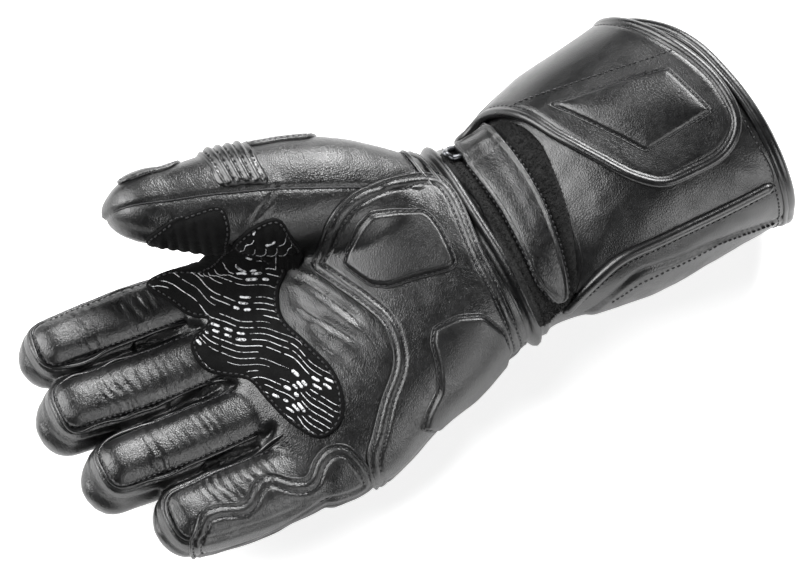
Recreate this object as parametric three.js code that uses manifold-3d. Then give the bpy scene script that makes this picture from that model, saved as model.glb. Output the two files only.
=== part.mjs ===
// A right-hand leather motorcycle glove with a long gauntlet cuff, lying on its back with the palm up.
// Units are millimetres. +X runs from the fingertips to the cuff opening, +Y to the thumb, +Z up.
// The origin is the middle of the object's box, on the surface that the glove rests on.
import * as THREE from "three";
import { mergeVertices } from "three/addons/utils/BufferGeometryUtils.js";
import Module from "manifold-3d";

// Driving dimensions
const WALL = 2.4; // leather with its lining
const GAP = 0.3; // clearance between neighbouring pieces
const MIDDLE_X = -3.03; // the middle of the glove, where the origin goes
const MIDDLE_Y = 2.78;
const WRIST_SEAM_X = 30; // where the hand is sewn to the cuff
const CUFF_END_X = 142.5; // the cuff opening
const HAND_SIDES = 26; // points round a hand or cuff section
const FINGER_SIDES = 12;
const THUMB_SIDES = 14;
const BODY_SQUARENESS = 2.5; // 2 is an ellipse, more is squarer
const FINGER_SQUARENESS = 2.3;
const KNUCKLE_SLANT = 0.08; // the finger bases step back towards the little finger
const KNUCKLE_SLANT_Y = 20;

// Sections of the hand, from the finger bases to the wrist seam
const HAND = [
  { x: -86, yLow: -58, yHigh: 41, zLow: 6, zHigh: 30 },
  { x: -80, yLow: -65, yHigh: 45, zLow: 1.5, zHigh: 34 },
  { x: -62, yLow: -69.5, yHigh: 44, zLow: -1.5, zHigh: 38 },
  { x: -40, yLow: -68.5, yHigh: 41, zLow: -2, zHigh: 42 },
  { x: -15, yLow: -60.5, yHigh: 38, zLow: -2, zHigh: 46 },
  { x: 5, yLow: -56, yHigh: 41, zLow: -2, zHigh: 49 },
  { x: 20, yLow: -51, yHigh: 41.5, zLow: -1.5, zHigh: 51 },
  { x: WRIST_SEAM_X, yLow: -50, yHigh: 38.5, zLow: -1, zHigh: 51 },
];

// Sections of the cuff, from the wrist seam to the opening
const CUFF = [
  { x: WRIST_SEAM_X + GAP, yLow: -50, yHigh: 38.5, zLow: -1, zHigh: 51 },
  { x: 35, yLow: -51.5, yHigh: 37, zLow: -1.5, zHigh: 53 },
  { x: 41, yLow: -49, yHigh: 33.5, zLow: -1, zHigh: 50 },
  { x: 52, yLow: -49.5, yHigh: 32, zLow: -1, zHigh: 50 },
  { x: 62, yLow: -52.5, yHigh: 36, zLow: -1.5, zHigh: 53.5 },
  { x: 78, yLow: -56.5, yHigh: 39.5, zLow: -2, zHigh: 58.5 },
  { x: 100, yLow: -58, yHigh: 42, zLow: -2, zHigh: 63 },
  { x: 125, yLow: -58, yHigh: 44, zLow: -2, zHigh: 66.5 },
  { x: CUFF_END_X + 8, yLow: -58, yHigh: 44.5, zLow: -2, zHigh: 69 },
];
// The edge of the opening, seen from above: it steps back on the thumb side
const OPENING_EDGE = [
  { x: CUFF_END_X, y: -90 },
  { x: CUFF_END_X, y: -2 },
  { x: CUFF_END_X - 2, y: 9 },
  { x: CUFF_END_X - 6, y: 20 },
  { x: CUFF_END_X - 11, y: 29 },
  { x: CUFF_END_X - 18, y: 38 },
  { x: CUFF_END_X - 40, y: 60 },
  { x: CUFF_END_X - 60, y: 90 },
];

// Each finger's axis from its root in the palm to where the rounded tip begins
const FINGERS = {
  index: [
    { x: -66, y: 29.5, z: 18, across: 11, deep: 12 },
    { x: -92, y: 34.6, z: 21, across: 12.9, deep: 13.8 },
    { x: -116, y: 37, z: 26, across: 12.8, deep: 13 },
    { x: -134, y: 37.5, z: 31.5, across: 12, deep: 13 },
  ],
  middle: [
    { x: -66, y: 5.5, z: 19, across: 13.2, deep: 14 },
    { x: -92, y: 7.2, z: 21, across: 13.6, deep: 14 },
    { x: -118, y: 9.6, z: 25.5, across: 13.6, deep: 14.4 },
    { x: -139, y: 11.4, z: 32, across: 12.8, deep: 14.8 },
  ],
  ring: [
    { x: -66, y: -21.5, z: 19, across: 12.8, deep: 14 },
    { x: -92, y: -20.4, z: 21, across: 13.2, deep: 13.8 },
    { x: -116, y: -18.8, z: 25, across: 13.2, deep: 14 },
    { x: -135, y: -17.9, z: 30.8, across: 12.4, deep: 14.4 },
  ],
  little: [
    { x: -58, y: -52, z: 18.5, across: 14, deep: 12.5 },
    { x: -84, y: -51, z: 20, across: 15.2, deep: 13.2 },
    { x: -104, y: -49, z: 23.5, across: 15, deep: 12.6 },
    { x: -121, y: -47.5, z: 28.6, across: 13.4, deep: 11.4 },
  ],
};
const FINGERTIP = 12; // length of a rounded fingertip

// The thumb's axis: across is its half width seen from above, deep is its half height
const THUMB = [
  { x: 24, y: 15, z: 31, across: 16, deep: 15 },
  { x: 5, y: 28, z: 39, across: 19.5, deep: 18 },
  { x: -16, y: 39, z: 46.5, across: 21.5, deep: 19 },
  { x: -37, y: 46.5, z: 52.5, across: 20.5, deep: 18 },
  { x: -56, y: 53, z: 57, across: 18, deep: 16 },
  { x: -71, y: 59, z: 60, across: 13.8, deep: 13.5 },
];
const THUMB_TIP = 23;
const NAIL_REACH = 2; // the back of a fingertip reaches this much further than its pad
const TIP_STEPS = [0.4, 0.72, 0.93, 1]; // shares of a rounded tip's length

// Where the palm side and the back are sewn together, along the hand and the fingers
const SIDE_SEAM = [
  { x: -170, z: 46 },
  { x: -137, z: 33.8 },
  { x: -117, z: 26.5 },
  { x: -92, z: 21 },
  { x: -66, z: 19 },
  { x: -10, z: 22 },
  { x: 40, z: 25 },
];
// and along the cuff
const CUFF_SEAM = [
  { x: 20, z: 25 },
  { x: 70, z: 28 },
  { x: 160, z: 32 },
];
// The seam along the top of the thumb, seen from above
const THUMB_SEAM = [
  { x: -120, y: 75 },
  { x: -71, y: 59 },
  { x: -56, y: 53 },
  { x: -37, y: 46.5 },
  { x: -16, y: 39 },
  { x: 5, y: 28 },
  { x: 24, y: 15 },
  { x: 60, y: -10 },
];

// How thick each added layer is
const SKIN = 1.3; // overlays sewn flat on the palm
const SUEDE = 1.2;
const PALM_PAD = 2.8;
const RIBS = 2.2;
const LOOP_TAPE = 1.2;
const STRAP = 2.3;
const RING_TAB_THICK = 1.5;
const UNDERLAP = 1.6;
const FLAP = 2.4;
const FLAP_EDGE = 4; // the rolled edge round the flap
const FLAP_EDGE_WIDTH = 4;
const FLAP_PAD = 2;
const OPENING_ROLL = 4.2; // the rolled rim of the opening, along the cuff
const OPENING_ROLL_PROUD = 1; // and how far it stands in and out

// Outlines of the added pieces, seen from above
const FINGER_WEB_Z = 29; // the grip panel bridges the gaps between the fingers above this height
const GRIP_PANEL = [
  { x: -90, y: 43 }, { x: -85, y: 31 }, { x: -79, y: 21 }, { x: -75, y: 18 }, { x: -86, y: 13 },
  { x: -87, y: 1 }, { x: -80, y: -6 }, { x: -74, y: -12 }, { x: -72, y: -22 }, { x: -68, y: -37 },
  { x: -61, y: -47 }, { x: -52, y: -46 }, { x: -46, y: -38 }, { x: -44, y: -26 }, { x: -47, y: -12 },
  { x: -50, y: 5 }, { x: -46, y: 13 }, { x: -39, y: 19 }, { x: -47, y: 30 }, { x: -66, y: 38 }, { x: -80, y: 44 },
];
const HEEL_OVERLAY = [
  { x: 29, y: 22 }, { x: 10, y: 27 }, { x: -10, y: 26 }, { x: -23, y: 20 }, { x: -31, y: 15 },
  { x: -28, y: 4 }, { x: -22, y: -11 }, { x: -19, y: -22 }, { x: -22, y: -35 }, { x: -34, y: -46 },
  { x: -42, y: -54 }, { x: -49.5, y: -61.5 }, { x: -49.5, y: -80 }, { x: 16, y: -80 }, { x: 28, y: -50 }, { x: 29, y: -20 },
];
const THENAR_PAD = [
  { x: -18, y: 11 }, { x: -11, y: 15 }, { x: 0, y: 16.5 }, { x: 11, y: 14 }, { x: 19, y: 9 }, { x: 21, y: -3 },
  { x: 19, y: -13 }, { x: 10, y: -16 }, { x: 0, y: -13.5 }, { x: -12, y: -6 }, { x: -19, y: 3 },
];
const HYPOTHENAR_PAD = [
  { x: -3, y: -32 }, { x: 8, y: -33 }, { x: 17, y: -37 }, { x: 22, y: -49 }, { x: 20, y: -75 },
  { x: -20, y: -75 }, { x: -25, y: -65 }, { x: -21, y: -58 }, { x: -13, y: -53 }, { x: -9, y: -45 }, { x: -7, y: -37 },
];
const SIDE_PANEL = [
  { x: -127, y: -80 }, { x: -126, y: -62 }, { x: -121, y: -54 }, { x: -116, y: -49.5 }, { x: -109, y: -49.5 },
  { x: -99, y: -53 }, { x: -92, y: -48 }, { x: -85, y: -48 }, { x: -79, y: -53.5 }, { x: -73, y: -56 },
  { x: -67, y: -51.5 }, { x: -60, y: -50 }, { x: -54, y: -53 }, { x: -50.3, y: -61 }, { x: -50.3, y: -80 },
];
const THUMB_GRIP_PATCH = [
  { x: -85, y: 50 }, { x: -75, y: 50 }, { x: -64, y: 48 }, { x: -55, y: 43.5 }, { x: -53, y: 38 },
  { x: -56, y: 30 }, { x: -80, y: 36 }, { x: -90, y: 44 },
];
const WEB_GRIP_PATCH = [
  { x: -52, y: 37 }, { x: -46, y: 37 }, { x: -37, y: 33 }, { x: -30, y: 26 }, { x: -30, y: 20 },
  { x: -45, y: 20 }, { x: -54, y: 28 },
];
const THUMB_RIB_PANEL = [
  { x: -61, y: 55.8 }, { x: -47, y: 51 }, { x: -34, y: 46.2 }, { x: -22, y: 75 }, { x: -52, y: 85 },
];
const THUMB_TIP_PANEL = [{ x: -86, y: 68 }, { x: -66, y: 68 }, { x: -62, y: 90 }, { x: -84, y: 90 }];
const THUMB_KNUCKLE_PANEL = [{ x: -27, y: 58 }, { x: 2, y: 50 }, { x: 8, y: 75 }, { x: -20, y: 80 }];
const LOOP_PATCH = [
  { x: 42, y: 30.2 }, { x: 58, y: 29.4 }, { x: 61, y: 10 }, { x: 60, y: -20 }, { x: 57, y: -40 }, { x: 51, y: -49 },
  { x: 48, y: -70 }, { x: 34, y: -70 }, { x: 35, y: -40 }, { x: 38, y: 0 },
];
const WRIST_STRAP = [
  { x: 43, y: 20 }, { x: 43.5, y: 0 }, { x: 41.5, y: -20 }, { x: 40.5, y: -33 }, { x: 43.5, y: -40 }, { x: 47.5, y: -43.5 },
  { x: 52, y: -41.5 }, { x: 56, y: -24 }, { x: 59.5, y: -6 }, { x: 61, y: 10 }, { x: 60, y: 20 },
];
const RING_OUTER = [{ x: 36, y: 24.5 }, { x: 38.5, y: 20.6 }, { x: 62, y: 20.6 }, { x: 63.5, y: 24 }, { x: 61, y: 29.2 }, { x: 38, y: 30.2 }];
const RING_INNER = [{ x: 38.5, y: 24.6 }, { x: 40, y: 22.8 }, { x: 60.5, y: 22.8 }, { x: 61.2, y: 24.2 }, { x: 60, y: 27 }, { x: 39.5, y: 28 }];
const RING_TAB = [{ x: 41, y: 30.6 }, { x: 58, y: 29.8 }, { x: 58, y: 60 }, { x: 41, y: 60 }];
const CUFF_UNDERLAP = [
  { x: 64, y: 60 }, { x: 65.5, y: 10 }, { x: 64, y: -20 }, { x: 61, y: -38 }, { x: 53, y: -48.5 }, { x: 63, y: -47.5 },
  { x: 73, y: -46 }, { x: 93, y: -48.5 }, { x: 141.5, y: -51 }, { x: 141.5, y: -5 }, { x: 138, y: 10 }, { x: 131, y: 26 }, { x: 124, y: 60 },
];
const CUFF_FLAP = [
  { x: 46, y: 31 }, { x: 57, y: 34 }, { x: 65, y: 30 }, { x: 72, y: 20 }, { x: 77, y: 7 }, { x: 86, y: -10 },
  { x: 94, y: -24 }, { x: 101, y: -30.5 }, { x: 113, y: -32.5 }, { x: 131, y: -31.5 }, { x: 138, y: -26 }, { x: 140.5, y: -12 },
  { x: 137, y: 7 }, { x: 130, y: 24 }, { x: 124, y: 36 }, { x: 118, y: 70 }, { x: 46, y: 70 },
];
const FLAP_PAD_OUTLINE = [{ x: 80, y: 21 }, { x: 126, y: 7 }, { x: 131, y: -18 }, { x: 102, y: -17 }];

const wasm = await Module();
wasm.setup();

// A closed surface through rings of equal point count, with flat ends
function loft(rings) {
  const sides = rings[0].length;
  const position = rings.flat().flatMap((p) => [p.x, p.y, p.z]);
  const index = [];
  for (let r = 0; r + 1 < rings.length; r++)
    for (let k = 0; k < sides; k++) {
      const next = (k + 1) % sides;
      const [a, b, c, d] = [r * sides + k, r * sides + next, (r + 1) * sides + next, (r + 1) * sides + k];
      index.push(a, b, c, a, c, d);
    }
  const last = (rings.length - 1) * sides;
  for (let k = 1; k + 1 < sides; k++) {
    index.push(0, k + 1, k);
    index.push(last, last + k, last + k + 1);
  }
  const geometry = new THREE.BufferGeometry();
  geometry.setAttribute("position", new THREE.Float32BufferAttribute(position, 3));
  geometry.setIndex(index);
  return geometry;
}

function solid(geometry) {
  const bare = geometry.clone();
  bare.deleteAttribute("normal");
  bare.deleteAttribute("uv");
  const merged = mergeVertices(bare, 1e-4);
  const made = new wasm.Manifold(
    new wasm.Mesh({
      numProp: 3,
      vertProperties: new Float32Array(merged.attributes.position.array),
      triVerts: new Uint32Array(merged.index.array),
    }),
  );
  if (made.volume() >= 0) return made;
  const flipped = new Uint32Array(merged.index.array);
  for (let i = 0; i < flipped.length; i += 3) [flipped[i + 1], flipped[i + 2]] = [flipped[i + 2], flipped[i + 1]];
  return new wasm.Manifold(
    new wasm.Mesh({
      numProp: 3,
      vertProperties: new Float32Array(merged.attributes.position.array),
      triVerts: flipped,
    }),
  );
}

const roundedPower = (value, squareness) => Math.sign(value) * Math.abs(value) ** (2 / squareness);

// A hand or cuff section, grown outwards or shrunk inwards, and flat where it meets the floor
function bodyRing(row, grow) {
  const middleY = (row.yLow + row.yHigh) / 2;
  const halfY = (row.yHigh - row.yLow) / 2 + grow;
  const middleZ = (row.zLow + row.zHigh) / 2;
  const halfZ = (row.zHigh - row.zLow) / 2 + grow;
  const floor = Math.max(0, -grow);
  return Array.from({ length: HAND_SIDES }, (_, k) => {
    const turn = (k / HAND_SIDES) * 2 * Math.PI;
    const y = middleY + halfY * roundedPower(Math.cos(turn), BODY_SQUARENESS);
    const z = middleZ + halfZ * roundedPower(Math.sin(turn), BODY_SQUARENESS);
    const slant = row.atKnuckles ? KNUCKLE_SLANT * (KNUCKLE_SLANT_Y - y) : 0;
    return new THREE.Vector3(row.x + slant, y, Math.max(floor, z));
  });
}

function bodySolid(rows, grow, pastStart, pastEnd) {
  const placed = rows.map((row, k) => {
    const shift = k === 0 ? -pastStart : k === rows.length - 1 ? pastEnd : 0;
    return { ...row, x: row.x + shift };
  });
  return solid(loft(placed.map((row) => bodyRing(row, grow))));
}

// A finger: sections square to its axis, ending in a rounded tip
function fingerSolid(rows, tip, sides, grow) {
  const axis = rows.map((row) => new THREE.Vector3(row.x, row.y, row.z));
  const ahead = axis.at(-1).clone().sub(axis.at(-2)).normalize();
  const length = tip + grow;
  const stations = rows.map((row, k) => ({
    centre: axis[k],
    along: (axis[k + 1] ?? axis[k].clone().add(ahead)).clone().sub(axis[k - 1] ?? axis[k]).normalize(),
    across: row.across + grow,
    deep: row.deep + grow,
  }));
  const root = stations.at(-1);
  for (const share of TIP_STEPS) {
    const narrowing = Math.sqrt(Math.max(0.01, 1 - share ** 2.2));
    stations.push({
      centre: axis.at(-1).clone().addScaledVector(ahead, length * share),
      along: ahead,
      across: root.across * narrowing,
      deep: root.deep * narrowing,
      nailReach: NAIL_REACH * share,
    });
  }
  const rings = stations.map((station) => {
    const side = new THREE.Vector3(0, 0, 1).cross(station.along).normalize();
    const up = station.along.clone().cross(side);
    return Array.from({ length: sides }, (_, k) => {
      const turn = (k / sides) * 2 * Math.PI;
      const reach = (station.nailReach ?? 0) * Math.max(0, -Math.sin(turn));
      return station.centre
        .clone()
        .addScaledVector(station.along, reach)
        .addScaledVector(side, station.across * roundedPower(Math.cos(turn), FINGER_SQUARENESS))
        .addScaledVector(up, station.deep * roundedPower(Math.sin(turn), FINGER_SQUARENESS));
    });
  });
  return solid(loft(rings));
}

const handRows = HAND.map((row, k) => ({ ...row, atKnuckles: k < 2 }));
const handSolid = (grow, pastEnd = 0) => bodySolid(handRows, grow, grow, pastEnd);
const cuffSolid = (grow, pastEnds = 0) => bodySolid(CUFF, grow, pastEnds, pastEnds);
const fingerSolids = (grow) =>
  Object.values(FINGERS).map((rows) => fingerSolid(rows, FINGERTIP, FINGER_SIDES, grow));
const thumbSolid = (grow) =>
  fingerSolid(THUMB, THUMB_TIP, THUMB_SIDES, grow);
const joined = (solids) => solids.reduce((all, one) => all.add(one));
const handWithFingers = (grow, pastEnd) => joined([handSolid(grow, pastEnd), ...fingerSolids(grow)]);

const group = new THREE.Group();
const LEATHER = { color: 0x1b1b1d, roughness: 0.5, metalness: 0 };
const SUEDE_LOOK = { color: 0x232324, roughness: 0.9, metalness: 0 };
const LOOP_LOOK = { color: 0x131313, roughness: 1, metalness: 0 };
const METAL_LOOK = { color: 0x6d7074, roughness: 0.35, metalness: 1 };

function addPiece(name, made, look) {
  const mesh = made.getMesh();
  const geometry = new THREE.BufferGeometry();
  geometry.setAttribute("position", new THREE.BufferAttribute(new Float32Array(mesh.vertProperties), 3));
  geometry.setIndex(new THREE.BufferAttribute(new Uint32Array(mesh.triVerts), 1));
  geometry.computeVertexNormals();
  const piece = new THREE.Mesh(geometry, new THREE.MeshStandardMaterial(look));
  piece.name = name;
  group.add(piece);
}

// The biggest body of a cut, without the crumbs that a cut can leave
function largest(made) {
  return made.decompose().reduce((best, one) => (one.volume() > best.volume() ? one : best));
}

// An outline seen from above, as a column between two heights
function column(outline, low, high) {
  const shape = new THREE.Shape(outline.map((p) => new THREE.Vector2(p.x, p.y)));
  return solid(new THREE.ExtrudeGeometry(shape, { depth: high - low, bevelEnabled: false }).translate(0, 0, low));
}

// Everything above, or below, a seam line that is drawn from the side
function sideOf(seam, above) {
  const edge = seam.map((p) => new THREE.Vector2(p.x, p.z + (above ? GAP / 2 : -GAP / 2)));
  const far = above ? 150 : -50;
  const shape = new THREE.Shape([...edge, new THREE.Vector2(seam.at(-1).x, far), new THREE.Vector2(seam[0].x, far)]);
  const wide = 300;
  return solid(
    new THREE.ExtrudeGeometry(shape, { depth: wide, bevelEnabled: false }).rotateX(Math.PI / 2).translate(0, wide / 2, 0),
  );
}

// Everything on one side of the thumb's seam, seen from above
function besideThumbSeam(backSide) {
  const away = backSide ? GAP / 2 : -GAP / 2;
  const edge = THUMB_SEAM.map((p) => ({ x: p.x, y: p.y + away * 1.1 }));
  const far = backSide ? 150 : -150;
  return column([...edge, { x: 60, y: far }, { x: -120, y: far }], -10, 120);
}

// Everything on the wrist's side of the opening's edge
const beforeOpening = (past) => {
  const edge = OPENING_EDGE.map((p) => ({ x: p.x + past, y: p.y }));
  return column([...edge, { x: -200, y: 90 }, { x: -200, y: -90 }], -10, 120);
};

// The outside of the whole glove, grown evenly
const grown = new Map();
function outside(grow) {
  const key = grow.toFixed(2);
  if (!grown.has(key)) grown.set(key, joined([handWithFingers(grow, grow), thumbSolid(grow), cuffSolid(grow, grow)]));
  return grown.get(key);
}

// A piece of leather that follows the glove's surface
function sewnOn(outline, from, thickness, lowest) {
  const layer = outside(from + thickness).subtract(outside(from));
  return largest(layer.intersect(column(outline, lowest, 120)).intersect(beforeOpening(-GAP)));
}

// An outline drawn in by an even margin
function drawnIn(outline, margin) {
  const clockwise = THREE.ShapeUtils.area(outline) < 0;
  const turn = clockwise ? -1 : 1;
  return outline.map((point, k) => {
    const before = outline.at(k - 1);
    const after = outline[(k + 1) % outline.length];
    const first = new THREE.Vector2(point.x - before.x, point.y - before.y).normalize();
    const second = new THREE.Vector2(after.x - point.x, after.y - point.y).normalize();
    const inward = new THREE.Vector2(-(first.y + second.y), first.x + second.x).normalize().multiplyScalar(turn);
    const spread = Math.max(0.5, inward.dot(new THREE.Vector2(-first.y, first.x).multiplyScalar(turn)));
    return { x: point.x + (inward.x * margin) / spread, y: point.y + (inward.y * margin) / spread };
  });
}

// The leather shells
const handShell = handWithFingers(0, 0).subtract(handWithFingers(-WALL, 1)).subtract(thumbSolid(-WALL));
addPiece("palm_panel", largest(handShell.intersect(sideOf(SIDE_SEAM, true))), LEATHER);
addPiece("back_panel", largest(handShell.intersect(sideOf(SIDE_SEAM, false))), LEATHER);
const thumbShell = thumbSolid(0).subtract(thumbSolid(-WALL)).subtract(handWithFingers(GAP, GAP));
addPiece("thumb_palm_panel", largest(thumbShell.intersect(besideThumbSeam(false))), LEATHER);
addPiece("thumb_back_panel", largest(thumbShell.intersect(besideThumbSeam(true))), LEATHER);
const cuffShell = cuffSolid(0).subtract(cuffSolid(-WALL, 1)).subtract(thumbSolid(GAP)).intersect(beforeOpening(0));
addPiece("cuff_palm_panel", largest(cuffShell.intersect(sideOf(CUFF_SEAM, true))), LEATHER);
addPiece("cuff_back_panel", largest(cuffShell.intersect(sideOf(CUFF_SEAM, false))), LEATHER);

// The rolled rim of the opening
const rim = cuffSolid(OPENING_ROLL_PROUD, 1).subtract(cuffSolid(-WALL - OPENING_ROLL_PROUD, 2));
const rimBand = beforeOpening(GAP + OPENING_ROLL).subtract(beforeOpening(GAP));
addPiece("cuff_binding", largest(rim.intersect(rimBand)), LEATHER);

// Pieces sewn on the palm and the thumb
addPiece("grip_panel", sewnOn(GRIP_PANEL, GAP, SUEDE, FINGER_WEB_Z), SUEDE_LOOK);
addPiece("heel_overlay", sewnOn(HEEL_OVERLAY, GAP, SKIN, 24), LEATHER);
const onOverlay = GAP + SKIN + GAP;
addPiece("thenar_pad", sewnOn(THENAR_PAD, onOverlay, PALM_PAD, 30), LEATHER);
addPiece("hypothenar_pad", sewnOn(HYPOTHENAR_PAD, onOverlay, PALM_PAD, 24), LEATHER);
addPiece("side_panel", sewnOn(SIDE_PANEL, GAP, SKIN, 22), LEATHER);
addPiece("thumb_grip_patch", sewnOn(THUMB_GRIP_PATCH, GAP, SUEDE, 48), SUEDE_LOOK);
addPiece("web_grip_patch", sewnOn(WEB_GRIP_PATCH, GAP, SUEDE, 44), SUEDE_LOOK);
addPiece("thumb_rib_panel", sewnOn(THUMB_RIB_PANEL, GAP, RIBS, 46), LEATHER);
addPiece("thumb_tip_panel", sewnOn(THUMB_TIP_PANEL, GAP, SKIN, 50), LEATHER);
addPiece("thumb_knuckle_panel", sewnOn(THUMB_KNUCKLE_PANEL, GAP, SKIN, 36), LEATHER);

// The wrist closure
addPiece("loop_patch", sewnOn(LOOP_PATCH, GAP, LOOP_TAPE, 16), LOOP_LOOK);
const onLoopTape = GAP + LOOP_TAPE + GAP;
addPiece("wrist_strap", sewnOn(WRIST_STRAP, onLoopTape, STRAP, 20), LEATHER);
const ringBand = sewnOn(RING_OUTER, onLoopTape, STRAP, 20);
addPiece("strap_ring", largest(ringBand.subtract(column(RING_INNER, 0, 120))), METAL_LOOK);
addPiece("ring_tab", sewnOn(RING_TAB, GAP, RING_TAB_THICK, 26), LEATHER);

// The closure of the cuff
addPiece("cuff_underlap", sewnOn(CUFF_UNDERLAP, GAP, UNDERLAP, 34), LEATHER);
const onUnderlap = GAP + UNDERLAP + GAP;
addPiece("cuff_flap", sewnOn(drawnIn(CUFF_FLAP, FLAP_EDGE_WIDTH + GAP), onUnderlap, FLAP, 34), LEATHER);
const flapEdge = sewnOn(CUFF_FLAP, onUnderlap, FLAP_EDGE, 34).subtract(column(drawnIn(CUFF_FLAP, FLAP_EDGE_WIDTH), 0, 120));
addPiece("flap_binding", largest(flapEdge), LEATHER);
addPiece("flap_pad", sewnOn(FLAP_PAD_OUTLINE, onUnderlap + FLAP + GAP, FLAP_PAD, 34), LEATHER);

group.position.set(-MIDDLE_X, -MIDDLE_Y, 0);

export default group;
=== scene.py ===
"""A right-hand leather riding glove with a long gauntlet cuff, lying on its back with the palm up.

Shapes are drawn in millimetres, with +X from the fingertips to the cuff opening, +Y to the thumb and
+Z up, and are put in the frame, in metres, when a piece is made.
"""

import math

import bpy
import numpy as np
from bpy.props import FloatProperty, FloatVectorProperty, IntProperty, PointerProperty
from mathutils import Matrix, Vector, noise
from mathutils.bvhtree import BVHTree
from mathutils.geometry import delaunay_2d_cdt
from mathutils.kdtree import KDTree


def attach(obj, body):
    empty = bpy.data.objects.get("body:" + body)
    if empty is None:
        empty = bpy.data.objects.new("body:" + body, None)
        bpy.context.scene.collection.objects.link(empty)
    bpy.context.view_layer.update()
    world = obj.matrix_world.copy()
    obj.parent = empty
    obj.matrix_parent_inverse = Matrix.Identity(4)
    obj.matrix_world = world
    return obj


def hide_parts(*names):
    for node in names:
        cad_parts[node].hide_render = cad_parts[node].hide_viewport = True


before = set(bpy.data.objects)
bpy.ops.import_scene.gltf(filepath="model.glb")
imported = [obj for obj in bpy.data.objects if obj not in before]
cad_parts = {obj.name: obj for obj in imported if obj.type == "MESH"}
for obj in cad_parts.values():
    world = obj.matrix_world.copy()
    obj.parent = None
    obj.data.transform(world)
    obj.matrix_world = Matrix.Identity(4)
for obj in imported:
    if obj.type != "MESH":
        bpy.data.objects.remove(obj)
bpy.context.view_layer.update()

bl_info = {
    "name": "Gauntlet Glove",
    "version": (1, 0, 0),
    "blender": (4, 5, 0),
    "location": "View3D > Sidebar > Glove",
    "description": "Makes a padded leather riding glove around its packed model",
    "category": "Object",
}

MM = 0.001
MIDDLE = np.array([-3.03, 2.78, 0.0])  # the middle of the glove in the drawing, where the origin goes

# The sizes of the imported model, repeated from its source: x, then low and high Y, low and high Z
HAND = np.array([
    (-86, -58, 41, 6, 30), (-80, -65, 45, 1.5, 34), (-62, -69.5, 44, -1.5, 38), (-40, -68.5, 41, -2, 42),
    (-15, -60.5, 38, -2, 46), (5, -56, 41, -2, 49), (20, -51, 41.5, -1.5, 51), (34, -50, 37, -1, 51),
], float)
CUFF = np.array([
    (30.3, -50, 38.5, -1, 51), (35, -51.5, 37, -1.5, 53), (41, -49, 33.5, -1, 50), (52, -49.5, 32, -1, 50),
    (62, -52.5, 36, -1.5, 53.5), (78, -56.5, 39.5, -2, 58.5), (100, -58, 42, -2, 63),
    (125, -58, 44, -2, 66.5), (150.5, -58, 44.5, -2, 69),
], float)
# Where the cuff ends: y, x
OPENING_EDGE = np.array([
    (-90, 142.5), (-2, 142.5), (9, 140.5), (20, 136.5), (29, 131.5), (38, 124.5), (60, 102.5),
])
# Each finger's axis: x, y, z, half width, half depth
FINGERS = {
    "index": [(-66, 29.5, 18, 11, 12), (-92, 34.6, 21, 12.9, 13.8), (-116, 37, 26, 12.8, 13),
              (-134, 37.5, 31.5, 12, 13)],
    "middle": [(-66, 5.5, 19, 13.2, 14), (-92, 7.2, 21, 13.6, 14), (-118, 9.6, 25.5, 13.6, 14.4),
               (-139, 11.4, 32, 12.8, 14.8)],
    "ring": [(-66, -21.5, 19, 12.8, 14), (-92, -20.4, 21, 13.2, 13.8), (-116, -18.8, 25, 13.2, 14),
             (-135, -17.9, 30.8, 12.4, 14.4)],
    "little": [(-58, -52, 18.5, 14, 12.5), (-84, -51, 20, 15.2, 13.2), (-104, -49, 23.5, 15, 12.6),
               (-121, -47.5, 28.6, 13.4, 11.4)],
}
THUMB = [
    (24, 15, 31, 16, 15), (5, 28, 39, 19.5, 18), (-16, 39, 46.5, 21.5, 19), (-37, 46.5, 52.5, 20.5, 18),
    (-56, 53, 57, 18, 16), (-71, 59, 60, 13.8, 13.5),
]
FINGERTIP = 12.0
THUMB_TIP = 23.0
NAIL_REACH = 2.0
BODY_SQUARENESS = 2.5
FINGER_SQUARENESS = 2.5
FINGER_EASE = -0.35  # neighbouring fingers meet low between them
SEAM_SHARE = 0.84  # half the breadth of a finger's palm panel, as a share of the finger's half breadth
SEAM_FROM_TIP = 2.6
SEAM_SQUARENESS = 3.4

# The seams: x, and the height of the side seams or the y of the thumb's seam
SIDE_SEAM = np.array([
    (-170, 46), (-137, 33.8), (-117, 26.5), (-92, 21), (-66, 19), (-10, 22), (40, 25),
], float)
CUFF_SEAM = np.array([(20, 25), (70, 28), (160, 32)], float)
THUMB_SEAM = np.array([
    (-120, 75), (-83, 62.2), (-70.4, 57.2), (-57.6, 52.4), (-43.3, 46.6), (-30.6, 41.6), (-14.7, 34.6),
    (-0.4, 28.5), (13.9, 22.1), (40, 9),
], float)
WRIST_SEAM = 30.1  # x of the seam between the hand and the cuff

FLOOR_GAP = 0.04

made = {}  # surfaces that several operators use, made once


# Numbers and curves

def smooth_through(xs, ys, at):
    """A smooth curve through the given points, level with them at both ends."""
    xs, ys, at = np.asarray(xs, float), np.asarray(ys, float), np.asarray(at, float)
    slope = np.gradient(ys, xs, axis=0)
    k = np.clip(np.searchsorted(xs, at) - 1, 0, len(xs) - 2)
    step = xs[k + 1] - xs[k]
    t = np.clip((at - xs[k]) / step, 0, 1)
    if ys.ndim > 1:
        step, t = step[..., None], t[..., None]
    a, b = 2 * t**3 - 3 * t**2 + 1, t**3 - 2 * t**2 + t
    return a * ys[k] + b * step * slope[k] + (1 - a) * ys[k + 1] + (t**3 - t**2) * step * slope[k + 1]


def eased(value):
    value = np.clip(value, 0, 1)
    return value * value * (3 - 2 * value)


def bell(value, width):
    return np.exp(-(value / width) ** 2)


def rounded_power(value, squareness):
    return np.sign(value) * np.abs(value) ** (2 / squareness)


def between(low, high, share):
    """From low at -1 to high at 1."""
    return (low + high) / 2 + (high - low) / 2 * share


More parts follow.
